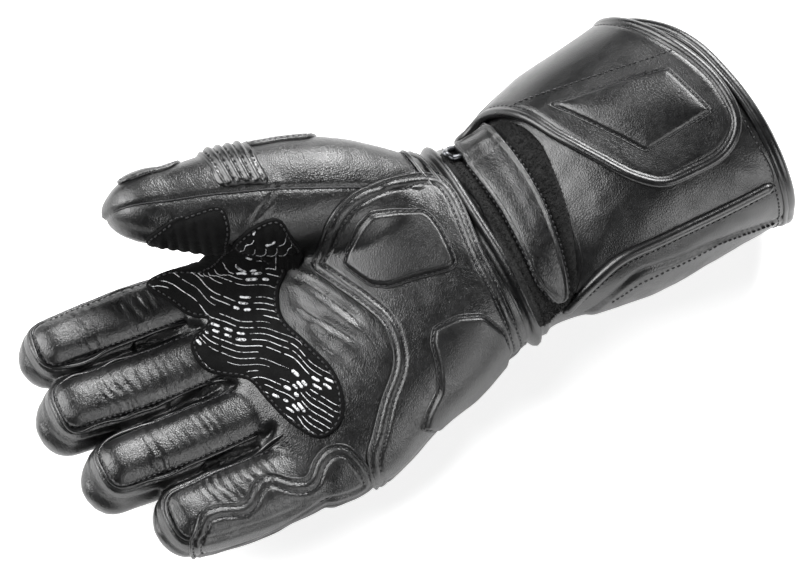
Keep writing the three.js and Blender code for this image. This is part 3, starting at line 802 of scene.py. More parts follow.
def patch(layout, outline, height, insets=(0.35, 0.8, 1.4, 2.0, 2.7), spacing=1.25, corners=4, sink=0.5,
          calm=2, straight=False):
    """A piece of leather laid on the skin, and what its stitch rows need.

    height(distance from the edge, points) is how far its top stands over the skin, and sink how far its
    underside lies below it, as a number or as sink(points).
    """
    if isinstance(layout, Above):
        loop = np.array(outline, float)
    else:
        loop = layout.flat(outline_on(layout.tree, outline))
    loop = evenly(loop, 1.0, True) if straight else curved(loop, 1.0, True)
    loop = evenly(softened(loop, corners), 1.0, True)
    flat = [loop]
    for inset in insets:
        flat.append(drawn_in(loop, inset))
    low, high = loop.min(0), loop.max(0)
    us = np.arange(low[0], high[0], spacing)
    vs = np.arange(low[1], high[1], spacing * 0.87)
    grid = np.array([(u + (k % 2) * spacing / 2, v) for k, v in enumerate(vs) for u in us])
    flat.append(grid[distance_to_loop(grid, loop) > (insets[-1] if insets else 0) + spacing * 0.55])
    count = len(loop)
    result = delaunay_2d_cdt([Vector(p) for p in np.concatenate(flat)], [], [list(range(count))], 1, 1e-4)
    uv = np.array([tuple(p) for p in result[0]])
    faces = np.array([f for f in result[2] if len(f) == 3])
    used = np.unique(faces)
    place = np.full(len(uv), -1)
    place[used] = np.arange(len(used))
    uv, faces = uv[used], place[faces]
    base = layout.lay(uv)
    edges = edges_of(faces)
    calmed = relaxed(base, edges, calm)
    normals = normals_of(calmed, faces)
    if (normals * (calmed - layout.start)).sum() < 0:
        faces, normals = faces[:, ::-1], -normals
    normals = unit(relaxed(normals, edges, 3))
    base = base + normals * ((calmed - base) * normals).sum(1, keepdims=True)
    inside = np.maximum(distance_to_loop(uv, loop), 0)
    rise = height(inside, base)
    top = base + normals * rise[:, None]
    pairs = np.concatenate([faces[:, [0, 1]], faces[:, [1, 2]], faces[:, [2, 0]]])
    _, first, number = np.unique(np.sort(pairs, 1), axis=0, return_index=True, return_counts=True)
    rim = pairs[first[number == 1]]
    total = len(uv)
    depth = sink(base)[:, None] if callable(sink) else sink
    under = base - normals * depth
    walls = np.stack([rim[:, 1], rim[:, 0], rim[:, 0] + total, rim[:, 1] + total], 1)
    all_faces = faces.tolist() + walls.tolist() + (faces[:, ::-1] + total).tolist()
    return {
        "points": np.concatenate([top, under]), "faces": all_faces, "top": top, "top_faces": faces,
        "normals": normals, "loop": loop, "layout": layout, "inside": inside, "edges": edges,
        "tree": tree_of(top, faces),
    }


def rounded_edge(distance, radius):
    """From 0 at the edge to 1, as a quarter circle."""
    t = np.clip(distance / radius, 0, 1)
    return np.sqrt(np.maximum(0, 1 - (1 - t) ** 2))


def sheet_height(lift, thickness, rows=(), edge=0.9, puff=0.0, puff_reach=8.0, groove=0.35):
    """Leather of even thickness with a rounded edge, pressed in along its stitch rows."""
    def height(distance, base):
        rise = lift + thickness * (0.25 + 0.75 * rounded_edge(distance, edge))
        for row in rows:
            rise -= groove * bell(distance - row, 0.6)
        start = max(rows) if rows else 0
        rise += puff * eased((distance - start) / puff_reach)
        rise += 0.12 * speckle(base, 5, 12.0) * eased(distance / 2)
        return rise
    return height


def row_on(piece, margin, keep=None, sunk=0.0):
    """A stitch row at a distance inside a patch's edge, as points and normals."""
    line = drawn_in(piece["loop"], margin)
    line = evenly(line, 0.6, True)
    where = piece["layout"].lay(line)
    on_top, normal = snapped(piece["tree"], where)
    if keep is not None:
        chosen = keep(on_top)
        if not chosen.all():
            start = int(np.argmin(chosen))
            chosen, on_top, normal = (np.roll(v, -start, 0) for v in (chosen, on_top, normal))
            on_top, normal = on_top[chosen], normal[chosen]
    return on_top - normal * sunk, normal


# Stitches

def stitches(rows, sewing, size=1.0):
    """One mesh of all stitches along rows of (points, normals)."""
    share = np.array([-1, -0.72, 0, 0.72, 1])
    girth = np.array([0.35, 0.85, 1, 0.85, 0.35])
    height = np.array([-0.9, 0.0, 0.35, 0.0, -0.9])
    sides = 6
    turn = np.linspace(0, 2 * math.pi, sides, endpoint=False)
    pitch, length, radius = sewing.pitch / MM * size, sewing.length / MM * size, sewing.thread / MM * size
    parts = []
    ring = np.arange(len(share) * sides).reshape(len(share), sides)
    after = np.roll(ring, -1, 1)
    sides_of = np.stack([ring[:-1], ring[1:], after[1:], after[:-1]], -1).reshape(-1, 4)
    caps = [ring[0].tolist(), ring[-1][::-1].tolist()]
    for line, normal in rows:
        if len(line) < 4:
            continue
        steps = np.linalg.norm(np.diff(line, axis=0), axis=1)
        breaks = np.where(steps > 4)[0]
        for piece_line, piece_normal in zip(np.split(line, breaks + 1), np.split(normal, breaks + 1)):
            if len(piece_line) < 4:
                continue
            run = lengths_along(piece_line)
            at = np.arange(pitch / 2, run[-1], pitch)
            if not len(at):
                continue
            centre = along_line(at, run, piece_line)
            ahead = along_line(at + 0.6, run, piece_line)
            behind = along_line(at - 0.6, run, piece_line)
            up = unit(along_line(at, run, piece_normal))
            along = unit(ahead - behind)
            across = unit(np.cross(along, up))
            up = np.cross(across, along)
            middle, along, across, up = (v[:, None, None] for v in (centre, along, across, up))
            body = middle + along * (share * length / 2)[:, None, None]
            body = body + up * (height * radius)[:, None, None]
            circle = across * np.cos(turn)[:, None] + up * np.sin(turn)[:, None]
            circle = circle * (girth * radius)[:, None, None]
            for one in (body + circle).reshape(len(at), -1, 3):
                parts.append(one)
    count = len(share) * sides
    faces = []
    for k in range(len(parts)):
        faces += (sides_of + k * count).tolist()
        faces += [[i + k * count for i in cap] for cap in caps]
    return np.concatenate(parts), faces


sewn = {"hand": [], "cuff": []}  # the stitch rows that pieces leave for the sewing operator


# Materials

def node_material(name):
    material = bpy.data.materials.new(name)
    material.use_nodes = True
    nodes, links = material.node_tree.nodes, material.node_tree.links
    nodes.clear()
    out = nodes.new("ShaderNodeOutputMaterial")
    shader = nodes.new("ShaderNodeBsdfPrincipled")
    links.new(shader.outputs[0], out.inputs[0])
    place = nodes.new("ShaderNodeTexCoord")
    return material, nodes, links, shader, place.outputs["Object"]


def noise_node(nodes, links, place, scale, detail=4.0, roughness=0.55, stretch=None):
    source = place
    if stretch is not None:
        mapping = nodes.new("ShaderNodeMapping")
        mapping.inputs["Scale"].default_value = stretch
        links.new(place, mapping.inputs["Vector"])
        source = mapping.outputs[0]
    made_node = nodes.new("ShaderNodeTexNoise")
    made_node.inputs["Scale"].default_value = scale
    made_node.inputs["Detail"].default_value = detail
    made_node.inputs["Roughness"].default_value = roughness
    links.new(source, made_node.inputs["Vector"])
    return made_node.outputs["Fac"]


def ramp(nodes, links, value, low, high, low_colour, high_colour):
    made_node = nodes.new("ShaderNodeValToRGB")
    made_node.color_ramp.elements[0].position = low
    made_node.color_ramp.elements[1].position = high
    made_node.color_ramp.elements[0].color = (*low_colour, 1)
    made_node.color_ramp.elements[1].color = (*high_colour, 1)
    links.new(value, made_node.inputs[0])
    return made_node.outputs[0]


def spread(nodes, links, value, low, high, to_low, to_high):
    made_node = nodes.new("ShaderNodeMapRange")
    for socket, number in zip(("From Min", "From Max", "To Min", "To Max"), (low, high, to_low, to_high)):
        made_node.inputs[socket].default_value = number
    links.new(value, made_node.inputs["Value"])
    return made_node.outputs[0]


def bump(nodes, links, value, strength, distance, before=None):
    made_node = nodes.new("ShaderNodeBump")
    made_node.inputs["Strength"].default_value = strength
    made_node.inputs["Distance"].default_value = distance
    links.new(value, made_node.inputs["Height"])
    if before is not None:
        links.new(before, made_node.inputs["Normal"])
    return made_node.outputs[0]


def leather(name, dark, light, rough, grain=1.0, wear=0.5, wrinkle=0.0):
    """Grained leather: pebbles and fine creases, uneven gloss and paler worn edges."""
    if name in bpy.data.materials:
        return bpy.data.materials[name]
    material, nodes, links, shader, place = node_material(name)
    cells = nodes.new("ShaderNodeTexVoronoi")
    cells.feature = "DISTANCE_TO_EDGE"
    cells.inputs["Scale"].default_value = 1100
    cells.inputs["Randomness"].default_value = 1.0
    warp = noise_node(nodes, links, place, 700, 2)
    shift = nodes.new("ShaderNodeVectorMath")
    shift.operation = "SCALE"
    shift.inputs["Scale"].default_value = 0.0012
    links.new(warp, shift.inputs[0])
    add = nodes.new("ShaderNodeVectorMath")
    links.new(place, add.inputs[0])
    links.new(shift.outputs[0], add.inputs[1])
    links.new(add.outputs[0], cells.inputs["Vector"])
    pebble = spread(nodes, links, cells.outputs["Distance"], 0.0, 0.35, 0.0, 1.0)
    blotch = noise_node(nodes, links, place, 75, 5)
    fine = noise_node(nodes, links, place, 420, 5, 0.65)
    creases = noise_node(nodes, links, place, 190, 7, 0.7, (1.0, 2.6, 1.0))
    colour = nodes.new("ShaderNodeMix")
    colour.data_type = "RGBA"
    tint = ramp(nodes, links, fine, 0.36, 0.68, dark, light)
    edge = nodes.new("ShaderNodeNewGeometry")
    worn = spread(nodes, links, edge.outputs["Pointiness"], 0.54, 0.66, 0.0, wear)
    links.new(worn, colour.inputs["Factor"])
    links.new(tint, colour.inputs["A"])
    colour.inputs["B"].default_value = (*[min(1, c * 2.4 + 0.012) for c in light], 1)
    links.new(colour.outputs["Result"], shader.inputs["Base Color"])
    gloss = nodes.new("ShaderNodeMath")
    gloss.operation = "MULTIPLY"
    links.new(spread(nodes, links, blotch, 0.3, 0.75, rough * 0.82, rough * 1.22), gloss.inputs[0])
    links.new(spread(nodes, links, fine, 0.25, 0.8, 0.88, 1.16), gloss.inputs[1])
    links.new(gloss.outputs[0], shader.inputs["Roughness"])
    first = bump(nodes, links, pebble, 0.23 * grain, 0.0003)
    second = bump(nodes, links, creases, 0.1 * grain, 0.0007, first)
    last = bump(nodes, links, fine, 0.1 * grain, 0.0003, second)
    if wrinkle:
        wave = noise_node(nodes, links, place, 150, 3, 0.5, (1.0, 0.18, 0.4))
        middle = nodes.new("ShaderNodeMath")
        middle.operation = "SUBTRACT"
        middle.inputs[1].default_value = 0.5
        links.new(wave, middle.inputs[0])
        line = nodes.new("ShaderNodeMath")
        line.operation = "ABSOLUTE"
        links.new(middle.outputs[0], line.inputs[0])
        valley = spread(nodes, links, line.outputs[0], 0.0, 0.035, 0.0, 1.0)
        where = spread(nodes, links, blotch, 0.45, 0.6, 0.0, 1.0)
        sunk = nodes.new("ShaderNodeMath")
        sunk.operation = "MULTIPLY"
        links.new(valley, sunk.inputs[0])
        links.new(where, sunk.inputs[1])
        last = bump(nodes, links, sunk.outputs[0], wrinkle, 0.0006, last)
    links.new(last, shader.inputs["Normal"])
    shader.inputs["Specular IOR Level"].default_value = 0.85
    return material


def suede():
    if "grip_suede" in bpy.data.materials:
        return bpy.data.materials["grip_suede"]
    look = bpy.context.scene.glove_look
    material, nodes, links, shader, place = node_material("grip_suede")
    nap = noise_node(nodes, links, place, 1500, 4, 0.7)
    patchy = noise_node(nodes, links, place, 240, 4)
    dark = [c * 0.45 for c in look.suede]
    links.new(ramp(nodes, links, nap, 0.35, 0.72, dark, look.suede), shader.inputs["Base Color"])
    links.new(spread(nodes, links, patchy, 0.3, 0.7, 0.72, 0.95), shader.inputs["Roughness"])
    first = bump(nodes, links, nap, 0.5, 0.0005)
    links.new(bump(nodes, links, patchy, 0.5, 0.0008, first), shader.inputs["Normal"])
    shader.inputs["Sheen Weight"].default_value = 0.02
    shader.inputs["Specular IOR Level"].default_value = 0.15
    shader.inputs["Sheen Roughness"].default_value = 0.4
    return material


def grip_print():
    if "grip_print" in bpy.data.materials:
        return bpy.data.materials["grip_print"]
    look = bpy.context.scene.glove_look
    material, nodes, links, shader, place = node_material("grip_print")
    broken = noise_node(nodes, links, place, 780, 4, 0.7)
    dark = [c * 0.05 for c in look.grip_print]
    links.new(ramp(nodes, links, broken, 0.4, 0.5, dark, look.grip_print), shader.inputs["Base Color"])
    links.new(spread(nodes, links, broken, 0.3, 0.7, 0.5, 0.28), shader.inputs["Roughness"])
    links.new(bump(nodes, links, broken, 0.6, 0.0004), shader.inputs["Normal"])
    return material


def thread():
    if "thread" in bpy.data.materials:
        return bpy.data.materials["thread"]
    look = bpy.context.scene.glove_look
    material, nodes, links, shader, place = node_material("thread")
    ply = noise_node(nodes, links, place, 2600, 2)
    dark = [c * 0.3 for c in look.thread]
    links.new(ramp(nodes, links, ply, 0.35, 0.7, dark, look.thread), shader.inputs["Base Color"])
    links.new(spread(nodes, links, ply, 0.3, 0.7, 0.32, 0.5), shader.inputs["Roughness"])
    links.new(bump(nodes, links, ply, 0.6, 0.0002), shader.inputs["Normal"])
    return material


def loop_tape():
    if "loop_tape" in bpy.data.materials:
        return bpy.data.materials["loop_tape"]
    material, nodes, links, shader, place = node_material("loop_tape")
    fuzz = noise_node(nodes, links, place, 1900, 5, 0.75)
    tufts = noise_node(nodes, links, place, 650, 3)
    links.new(ramp(nodes, links, fuzz, 0.38, 0.75, (0.002, 0.002, 0.002), (0.022, 0.022, 0.023)),
              shader.inputs["Base Color"])
    links.new(spread(nodes, links, tufts, 0.3, 0.7, 0.75, 0.98), shader.inputs["Roughness"])
    first = bump(nodes, links, fuzz, 1.0, 0.0008)
    links.new(bump(nodes, links, tufts, 0.8, 0.0012, first), shader.inputs["Normal"])
    shader.inputs["Sheen Weight"].default_value = 0.15
    return material


def metal():
    if "ring_metal" in bpy.data.materials:
        return bpy.data.materials["ring_metal"]
    material, nodes, links, shader, place = node_material("ring_metal")
    cloud = noise_node(nodes, links, place, 300, 4)
    scratch = noise_node(nodes, links, place, 900, 4, 0.6, (1, 8, 1))
    links.new(ramp(nodes, links, cloud, 0.3, 0.7, (0.07, 0.072, 0.077), (0.2, 0.205, 0.215)),
              shader.inputs["Base Color"])
    links.new(spread(nodes, links, scratch, 0.3, 0.7, 0.24, 0.42), shader.inputs["Roughness"])
    links.new(bump(nodes, links, scratch, 0.2, 0.0002), shader.inputs["Normal"])
    shader.inputs["Metallic"].default_value = 1
    return material


def floor_material(tone):
    material, nodes, links, shader, place = node_material("studio_floor")
    paper = noise_node(nodes, links, place, 6, 3)
    shade = [c * 0.985 for c in tone]
    links.new(ramp(nodes, links, paper, 0.2, 0.8, shade, tone), shader.inputs["Base Color"])
    links.new(spread(nodes, links, paper, 0.2, 0.8, 0.75, 0.85), shader.inputs["Roughness"])
    shader.inputs["Emission Color"].default_value = (1, 1, 1, 1)
    shader.inputs["Emission Strength"].default_value = 0.62
    return material


def tinted_leather(name, dark, light, rough, grain, wear, wrinkle=0.0):
    """Leather whose darkest and lightest tones and roughness are shares of the set ones."""
    look = bpy.context.scene.glove_look
    return leather(name, [c * dark for c in look.leather], [c * light for c in look.leather],
                   look.gloss_roughness * rough, grain, wear, wrinkle)


def palm_leather():
    return tinted_leather("palm_leather", 0.25, 1.3, 1.0, 1.0, 0.25, 0.12)


def smooth_leather():
    return tinted_leather("smooth_leather", 0.6, 1.0, 1.0, 0.8, 0.2)


def pad_leather():
    return tinted_leather("pad_leather", 0.6, 1.0, 1.15, 0.8, 0.2)


def edge_leather():
    return tinted_leather("edge_leather", 0.8, 1.4, 0.9, 0.5, 0.4)


# Settings

class GloveShape(bpy.types.PropertyGroup):
    voxel: FloatProperty(name="Skin step", description="Size of the quads of the hand's skin",
                         default=0.00098, min=0.0006, max=0.004, unit="LENGTH", precision=5)
    leather: FloatProperty(name="Leather", description="Thickness of the leather with its lining",
                           default=0.0018, min=0.0008, max=0.003, unit="LENGTH", precision=4)
    puff: FloatProperty(name="Padding", description="How far the padding of the fingers swells",
                        default=0.0010, min=0, max=0.003, unit="LENGTH", precision=4)
    seam_depth: FloatProperty(name="Seam depth", description="How deep a seam pulls the leather in",
                              default=0.0015, min=0, max=0.003, unit="LENGTH", precision=4)


class GloveSewing(bpy.types.PropertyGroup):
    pitch: FloatProperty(name="Pitch", description="From one stitch to the next", default=0.0024,
                         min=0.001, max=0.006, unit="LENGTH", precision=4)
    length: FloatProperty(name="Length", description="Length of a stitch", default=0.0017,
                          min=0.0005, max=0.005, unit="LENGTH", precision=4)
    thread: FloatProperty(name="Thread", description="Radius of the thread", default=0.00037,
                          min=0.0001, max=0.001, unit="LENGTH", precision=5)


class GloveLook(bpy.types.PropertyGroup):
    leather: FloatVectorProperty(name="Leather", description="Colour of the leather", subtype="COLOR",
                                 default=(0.0036, 0.0037, 0.004), min=0, max=1)
    suede: FloatVectorProperty(name="Suede", description="Colour of the grip panel", subtype="COLOR",
                               default=(0.005, 0.005, 0.0052), min=0, max=1)
    grip_print: FloatVectorProperty(name="Grip print", description="Colour of the printed grip lines",
                                    subtype="COLOR", default=(0.75, 0.76, 0.78), min=0, max=1)
    thread: FloatVectorProperty(name="Thread", description="Colour of the thread", subtype="COLOR",
                                default=(0.03, 0.03, 0.032), min=0, max=1)
    floor: FloatVectorProperty(name="Floor", description="Colour of the studio floor", subtype="COLOR",
                               default=(0.93, 0.93, 0.93), min=0, max=1)
    gloss_roughness: FloatProperty(name="Roughness", description="Roughness of the leather", default=0.33,
                                   min=0.1, max=1, subtype="FACTOR")


class GloveStage(bpy.types.PropertyGroup):
    lens: FloatProperty(name="Lens", description="Focal length of the camera, in millimetres",
                        default=160.6, min=20, max=400)
    distance: FloatProperty(name="Distance", description="From the camera to the glove", default=1.4,
                            min=0.3, max=5, unit="LENGTH")
    azimuth: FloatProperty(name="Azimuth", description="Direction that the camera looks from",
                           default=math.radians(-30), subtype="ANGLE")
    elevation: FloatProperty(name="Elevation", description="Height of the camera as an angle",
                             default=math.radians(72), subtype="ANGLE")
    key: FloatProperty(name="Key light", description="Power of the large soft light", default=36, min=0)
    fill: FloatProperty(name="Fill light", description="Power of the front light", default=9, min=0)
    rim: FloatProperty(name="Rim light", description="Power of the light from behind", default=33, min=0)
    sky: FloatProperty(name="Surroundings", description="Brightness of the white surroundings",
                       default=0.035, min=0)
    seed: IntProperty(name="Seed", description="Start of every random draw", default=7, min=0)


# Operators

class GLOVE_OT_hand_leather(bpy.types.Operator):
    """Makes the palm, the back and the two thumb panels, cut from one skin along their seams"""
    bl_idname = "glove.hand_leather"
    bl_label = "Hand Leather"

    def execute(self, context):
        hand = hand_skin()
        points, faces, normals = hand["points"].copy(), hand["faces"], hand["normals"]
        centre = points[faces].mean(1)
        faces = faces[centre[:, 0] < WRIST_SEAM - 0.2]
        points[points[:, 0] > WRIST_SEAM - 0.8, 0] = WRIST_SEAM
        thumb = hand["thumb_owns"][faces].mean(1) > 0.5
        upper = (points[:, 2] > hand["side_z"])[faces].mean(1) > 0.5
        behind = (points[:, 1] > hand["seam_y"])[faces].mean(1) > 0.5
        thickness = context.scene.glove_shape.leather / MM
        for name, mine in (("palm_panel", ~thumb & upper), ("back_panel", ~thumb & ~upper),
                           ("thumb_palm_panel", thumb & ~behind), ("thumb_back_panel", thumb & behind)):
            piece_points, piece_faces, piece_normals = shell(points, faces[mine], normals, thickness)
            leather_cover(name, piece_points, piece_faces, palm_leather(), piece_normals)
        # The cords below are painted shade: thin tubes of the dark thread material laid in the seam
        # grooves, standing for the seams' shadowed gaps
        piping, shade_cords = [], []
        for seam in hand["seams"]:
            on_skin, normal = snapped(hand["tree"], seam)
            on_skin, normal = softened(on_skin, 12, False), unit(softened(normal, 12, False))
            outward = unit(np.cross(np.gradient(seam, axis=0), normal))
            if outward[:, 2].mean() > 0:
                outward = -outward
            sewn["hand"].append(snapped(hand["tree"], on_skin - outward * 1.7))
            line, line_normal = snapped(hand["tree"], on_skin + outward * 1.6)
            line = softened(line, 25, False)
            line_normal = unit(softened(line_normal, 10, False))
            piping.append(tube(line + line_normal * 0.3, line_normal, 0.9, 0.9, 10, False, 4))
            # painted shade: a thin dark cord in the bottom of the finger seam's groove, for the seam's
            # shadowed gap
            shade_cords.append(tube(on_skin + normal * 0.1, normal, 0.3, 0.3, 6, False, 4))
        x = np.arange(-90.0, 27.0, 0.8)
        y = smooth_through(THUMB_SEAM[:, 0], THUMB_SEAM[:, 1], x) - 0.8
        seam = np.column_stack([x, y, np.full(len(x), 85.0)])
        line = [hand["tree"].ray_cast(Vector(p), Vector((0, 0, -1)))[0] for p in seam]
        line = np.array([hit for hit in line if hit is not None and hit[2] > 44])
        line, line_normal = snapped(hand["tree"], softened(line, 8, False))
        # painted shade: a dark cord in the thumb seam's groove, for the seam's shadowed gap
        shade_cords.append(tube(line + line_normal * 0.1, line_normal, 0.42, 0.42, 6, False, 4))
        for x in (26.0, 30.0):
            line = outline_on(hand["tree"], [(x - 0.1 * (k - 12), k) for k in np.arange(12.0, 42.5, 1.0)])
            line, line_normal = snapped(hand["tree"], softened(line, 3, False))
            piping.append(tube(line + line_normal * 0.5, line_normal, 1.0, 1.0, 10, False, 3))
            sewn["hand"].append(snapped(hand["tree"], line + [2.0 if x > 28 else -2.0, 0, 0]))
        points, faces = together(piping)
        make_piece("hand_piping", points, faces, edge_leather())
        # all the dark seam cords as one piece of painted shade
        points, faces = together(shade_cords)
        make_piece("seam_shade_cords", points, faces, thread())
        return {"FINISHED"}


class GLOVE_OT_cuff_leather(bpy.types.Operator):
    """Makes the two halves of the cuff and the rolled rim of its opening"""
    bl_idname = "glove.cuff_leather"
    bl_label = "Cuff Leather"

    def execute(self, context):
        cuff = cuff_skin()
        points, faces, normals = cuff["points"], cuff["faces"], cuff["normals"]
        thickness = context.scene.glove_shape.leather / MM
        seam = smooth_through(CUFF_SEAM[:, 0], CUFF_SEAM[:, 1], points[:, 0])
        upper = (points[:, 2] > seam)[faces].mean(1) > 0.5
        for name, mine in (("cuff_palm_panel", upper), ("cuff_back_panel", ~upper)):
            piece_points, piece_faces, piece_normals = shell(points, faces[mine], normals, thickness)
            leather_cover(name, piece_points, piece_faces, smooth_leather(), piece_normals)
        rim = points[cuff["grid"][-1]]
        rim_normal = normals[cuff["grid"][-1]]
        rim = softened(rim, 8)
        out = np.array([1.0, 0, 0])
        centre = rim - rim_normal * 0.9
        outer = tube(centre + out * 2.4, rim_normal, 2.2, 2.3, 12, True)
        inner = tube(centre + out * 0.2 + rim_normal * 0.9, rim_normal, 1.3, 1.2, 10, True)
        joined, joined_faces = together([outer, inner])
        joined[:, 2] = np.maximum(joined[:, 2], 0.05)
        make_piece("opening_rim", joined, joined_faces, edge_leather(), ["cuff_binding"])
        line, line_normal = snapped(cuff["tree"], rim - out * 3.0 + rim_normal)
        sewn["cuff"].append((line, line_normal))
        sewn["cuff"].append((rim + out * 0.9 + rim_normal * 0.3, rim_normal))
        strip_x = np.arange(62, 140, 0.7)
        strip_z = smooth_through(LOW_STRIP[:, 0], LOW_STRIP[:, 1], strip_x)
        start = np.stack([strip_x, np.full(len(strip_x), -70.0), strip_z + 2.6], 1)
        sewn["cuff"].append(snapped(cuff["tree"], start))
        return {"FINISHED"}


# Outlines of the pieces on the hand: x and y seen from above, and z where the skin turns away below
GRIP_PANEL = [
    (-90, 43), (-85, 31), (-79, 21), (-75, 18), (-86, 13), (-87, 1), (-80, -6), (-74, -12), (-72, -22),
    (-68, -37), (-61, -47), (-52, -46), (-46, -38), (-44, -26), (-47, -12), (-50, 5), (-46, 13), (-39, 19),
    (-47, 30), (-66, 38), (-80, 44),
]
HEEL_OVERLAY = [
    (29, 22), (10, 27), (-10, 26), (-23, 20), (-31, 15), (-28, 4), (-22, -11), (-19, -22), (-22, -35),
    (-34, -46), (-42, -54), (-49.5, -61.5), (-52, -68, 24), (-50, -67, 14), (-15, -60, 12), (16, -55, 12),
    (27, -50, 24), (28, -45), (29, -20),
]
THENAR_PAD = [
    (-21, 7.5), (-15.8, 12.8), (-8.8, 16.6), (-2, 18.5), (8, 15.3), (17.8, 10.2), (19.8, 6), (20.4, -1),
    (19.7, -9), (18.4, -16), (15, -17.6), (8, -15.5), (0, -13), (-9.6, -11.1), (-15.4, -6.5), (-18, -1),
]
HYPOTHENAR_PAD = [
    (-3, -32), (8, -33), (17, -37), (22, -46), (22, -51, 34), (19, -54, 25), (0, -58, 23), (-20, -63, 24),
    (-25.5, -64, 34), (-21, -58), (-13, -53), (-9, -45), (-7, -37),
]
SIDE_PANEL = [
    (-127, -61, 24), (-126, -58), (-121, -54), (-116, -49.5), (-109, -49.5), (-99, -53), (-92, -48),
    (-85, -48), (-79, -53.5), (-73, -56), (-67, -51.5), (-60, -50), (-54, -53), (-50.6, -61),
    (-50.6, -70, 24), (-75, -68, 20), (-100, -64, 19),
]
THUMB_GRIP_PATCH = [
    (-84.5, 49, 62), (-73, 48.5, 71.5), (-63, 47, 72.7), (-52.7, 44, 71), (-53, 37.7, 69.5),
    (-57, 32.7, 59), (-58, 33, 50), (-70, 40, 48), (-82, 47, 52),
]
WEB_GRIP_PATCH = [
    (-55.5, 32, 59.6), (-49, 33, 65), (-41.8, 32, 67.4), (-35.6, 30.5, 67), (-33.5, 25, 60),
    (-34, 20.4, 42), (-46, 24, 40), (-54, 29, 50),
]

# Distances from a patch's edge where its mesh has rows of points, for its rounded edge and stitch rows
EDGE_ROWS = (0.25, 0.6, 1.0, 1.45, 1.9, 2.6, 3.3, 3.9, 4.4, 4.8, 5.2, 5.6, 6.1, 6.8)


class GLOVE_OT_heel_overlay(bpy.types.Operator):
    """Makes the leather over the heel of the hand and the scalloped panel beside the little finger"""
    bl_idname = "glove.heel_overlay"
    bl_label = "Heel And Side Overlays"

    def execute(self, context):
        for name, outline, rows in (("heel_overlay", HEEL_OVERLAY, (1.45, 4.8)),
                                    ("side_panel", SIDE_PANEL, (1.45, 4.4))):
            height = sheet_height(0.2, 1.3, rows, 0.6, 0.4, 9.0, 0.75)
            piece = patch(Draped(hand_skin()["tree"]), outline, height, EDGE_ROWS, 1.1)
            made[name] = piece
            leather_cover(name, piece["points"], piece["faces"], palm_leather())
            for margin in rows:
                sewn["hand"].append(row_on(piece, margin, lambda p: p[:, 2] > 26))
        return {"FINISHED"}


class GLOVE_OT_grip_panel(bpy.types.Operator):
    """Makes the suede grip panel and the two thumb patches, with their printed grip lines"""
    bl_idname = "glove.grip_panel"
    bl_label = "Grip Suede"

    def execute(self, context):
        tree = hand_skin()["tree"]
        hand = Above(tree, (-94, -52), (-34, 50))
        thumb = Round(tree, (5, 28, 39), (-56, 53, 57), 20, (0.4, 0.9, 0), 30)
        strips = []
        plain = sheet_height(0.25, 1.1, (1.3,), 0.7, 0.1, 6.0, 0.3)

        def banded(distance, base):
            share = np.abs(np.sin((base[:, 0] - 0.25 * base[:, 1]) * math.pi / 4.2))
            return plain(distance, base) + 0.9 * eased((distance - 2) / 2) * share**0.7

        for name, layout, outline, height, spacing in (
            ("grip_panel", hand, GRIP_PANEL, plain, 1.2),
            ("thumb_grip_patch", thumb, THUMB_GRIP_PATCH, banded, 0.9),
            ("web_grip_patch", thumb, WEB_GRIP_PATCH, banded, 0.9),
        ):
            piece = patch(layout, outline, height, (0.4, 0.9, 1.5), spacing, calm=3)
            make_piece(name + "_suede", piece["points"], piece["faces"], suede(), [name])
            sewn["hand"].append(row_on(piece, 1.2))
            if name != "thumb_grip_patch":
                strips += grip_lines(piece, name)
        points, faces = together(strips)
        make_piece("grip_print_lines", points, faces, grip_print())
        return {"FINISHED"}


def grip_lines(piece, name):
    """Broken wavy lines printed across a suede piece, as thin raised strips."""
    rng = np.random.default_rng(bpy.context.scene.glove_stage.seed)
    top, layout = piece["top"], piece["layout"]
    flat_top = layout.flat(top)
    along = unit(np.array([0.56, -0.83])) if name == "grip_panel" else unit(np.array([0.25, 0.97]))
    across = np.array([-along[1], along[0]])
    middle = flat_top.mean(0)
    offset = flat_top - middle
    low, high = (offset @ across).min(), (offset @ across).max()
    reach = np.abs(offset @ along).max() + 4
    spacing, sway = (2.3, 2.6) if name == "grip_panel" else (4.2, 0.4)
    out = []
    for shift in np.arange(low - 3, high + 3, spacing):
        at = np.arange(-reach, reach, 0.55)
        wave = sway * np.sin(at / 7.6 + 0.05 * shift) + 0.35 * np.sin(at / 2.3 + 0.2 * shift)
        line = middle + at[:, None] * along + (shift + wave)[:, None] * across
        inside = distance_to_loop(line, piece["loop"])
        spot, normal = snapped(piece["tree"], layout.lay(line))
        bright = speckle(np.column_stack([line, np.zeros(len(line))]), 13, 21.0)
        k = 0
        while k < len(line):
            glow = bright[k] > 0.16
            run = int(rng.integers(5, 10)) if glow else int(rng.integers(8, 40))
            part = slice(k, k + run)
            fits = inside[part] > 1.6
            faint = not glow and bright[k] < -0.12 and rng.random() < 0.6
            if len(fits) >= 4 and fits.sum() >= 4 and not faint:
                first, last = k + int(np.argmax(fits)), k + len(fits) - int(np.argmax(fits[::-1]))
                part = slice(first, last)
                half = rng.uniform(0.45, 0.7) if glow else rng.uniform(0.09, 0.2)
                out.append(tube(spot[part] + normal[part] * 0.06, normal[part], half, 0.2, 6, False, 0.3))
            k += run + (2 if glow else 1)
    return out


def pad_height(lift, margin, rise, crown, row=1.2):
    """A sewn margin, and inside it a pad that rises steeply."""
    def height(distance, base):
        flat = 0.9 * rounded_edge(distance, 0.5) - 0.7 * bell(distance - row, 0.45)
        up = rise * rounded_edge(distance - margin, 1.1)
        dome = crown * eased((distance - margin) / 12)
        return lift + flat + up + dome
    return height


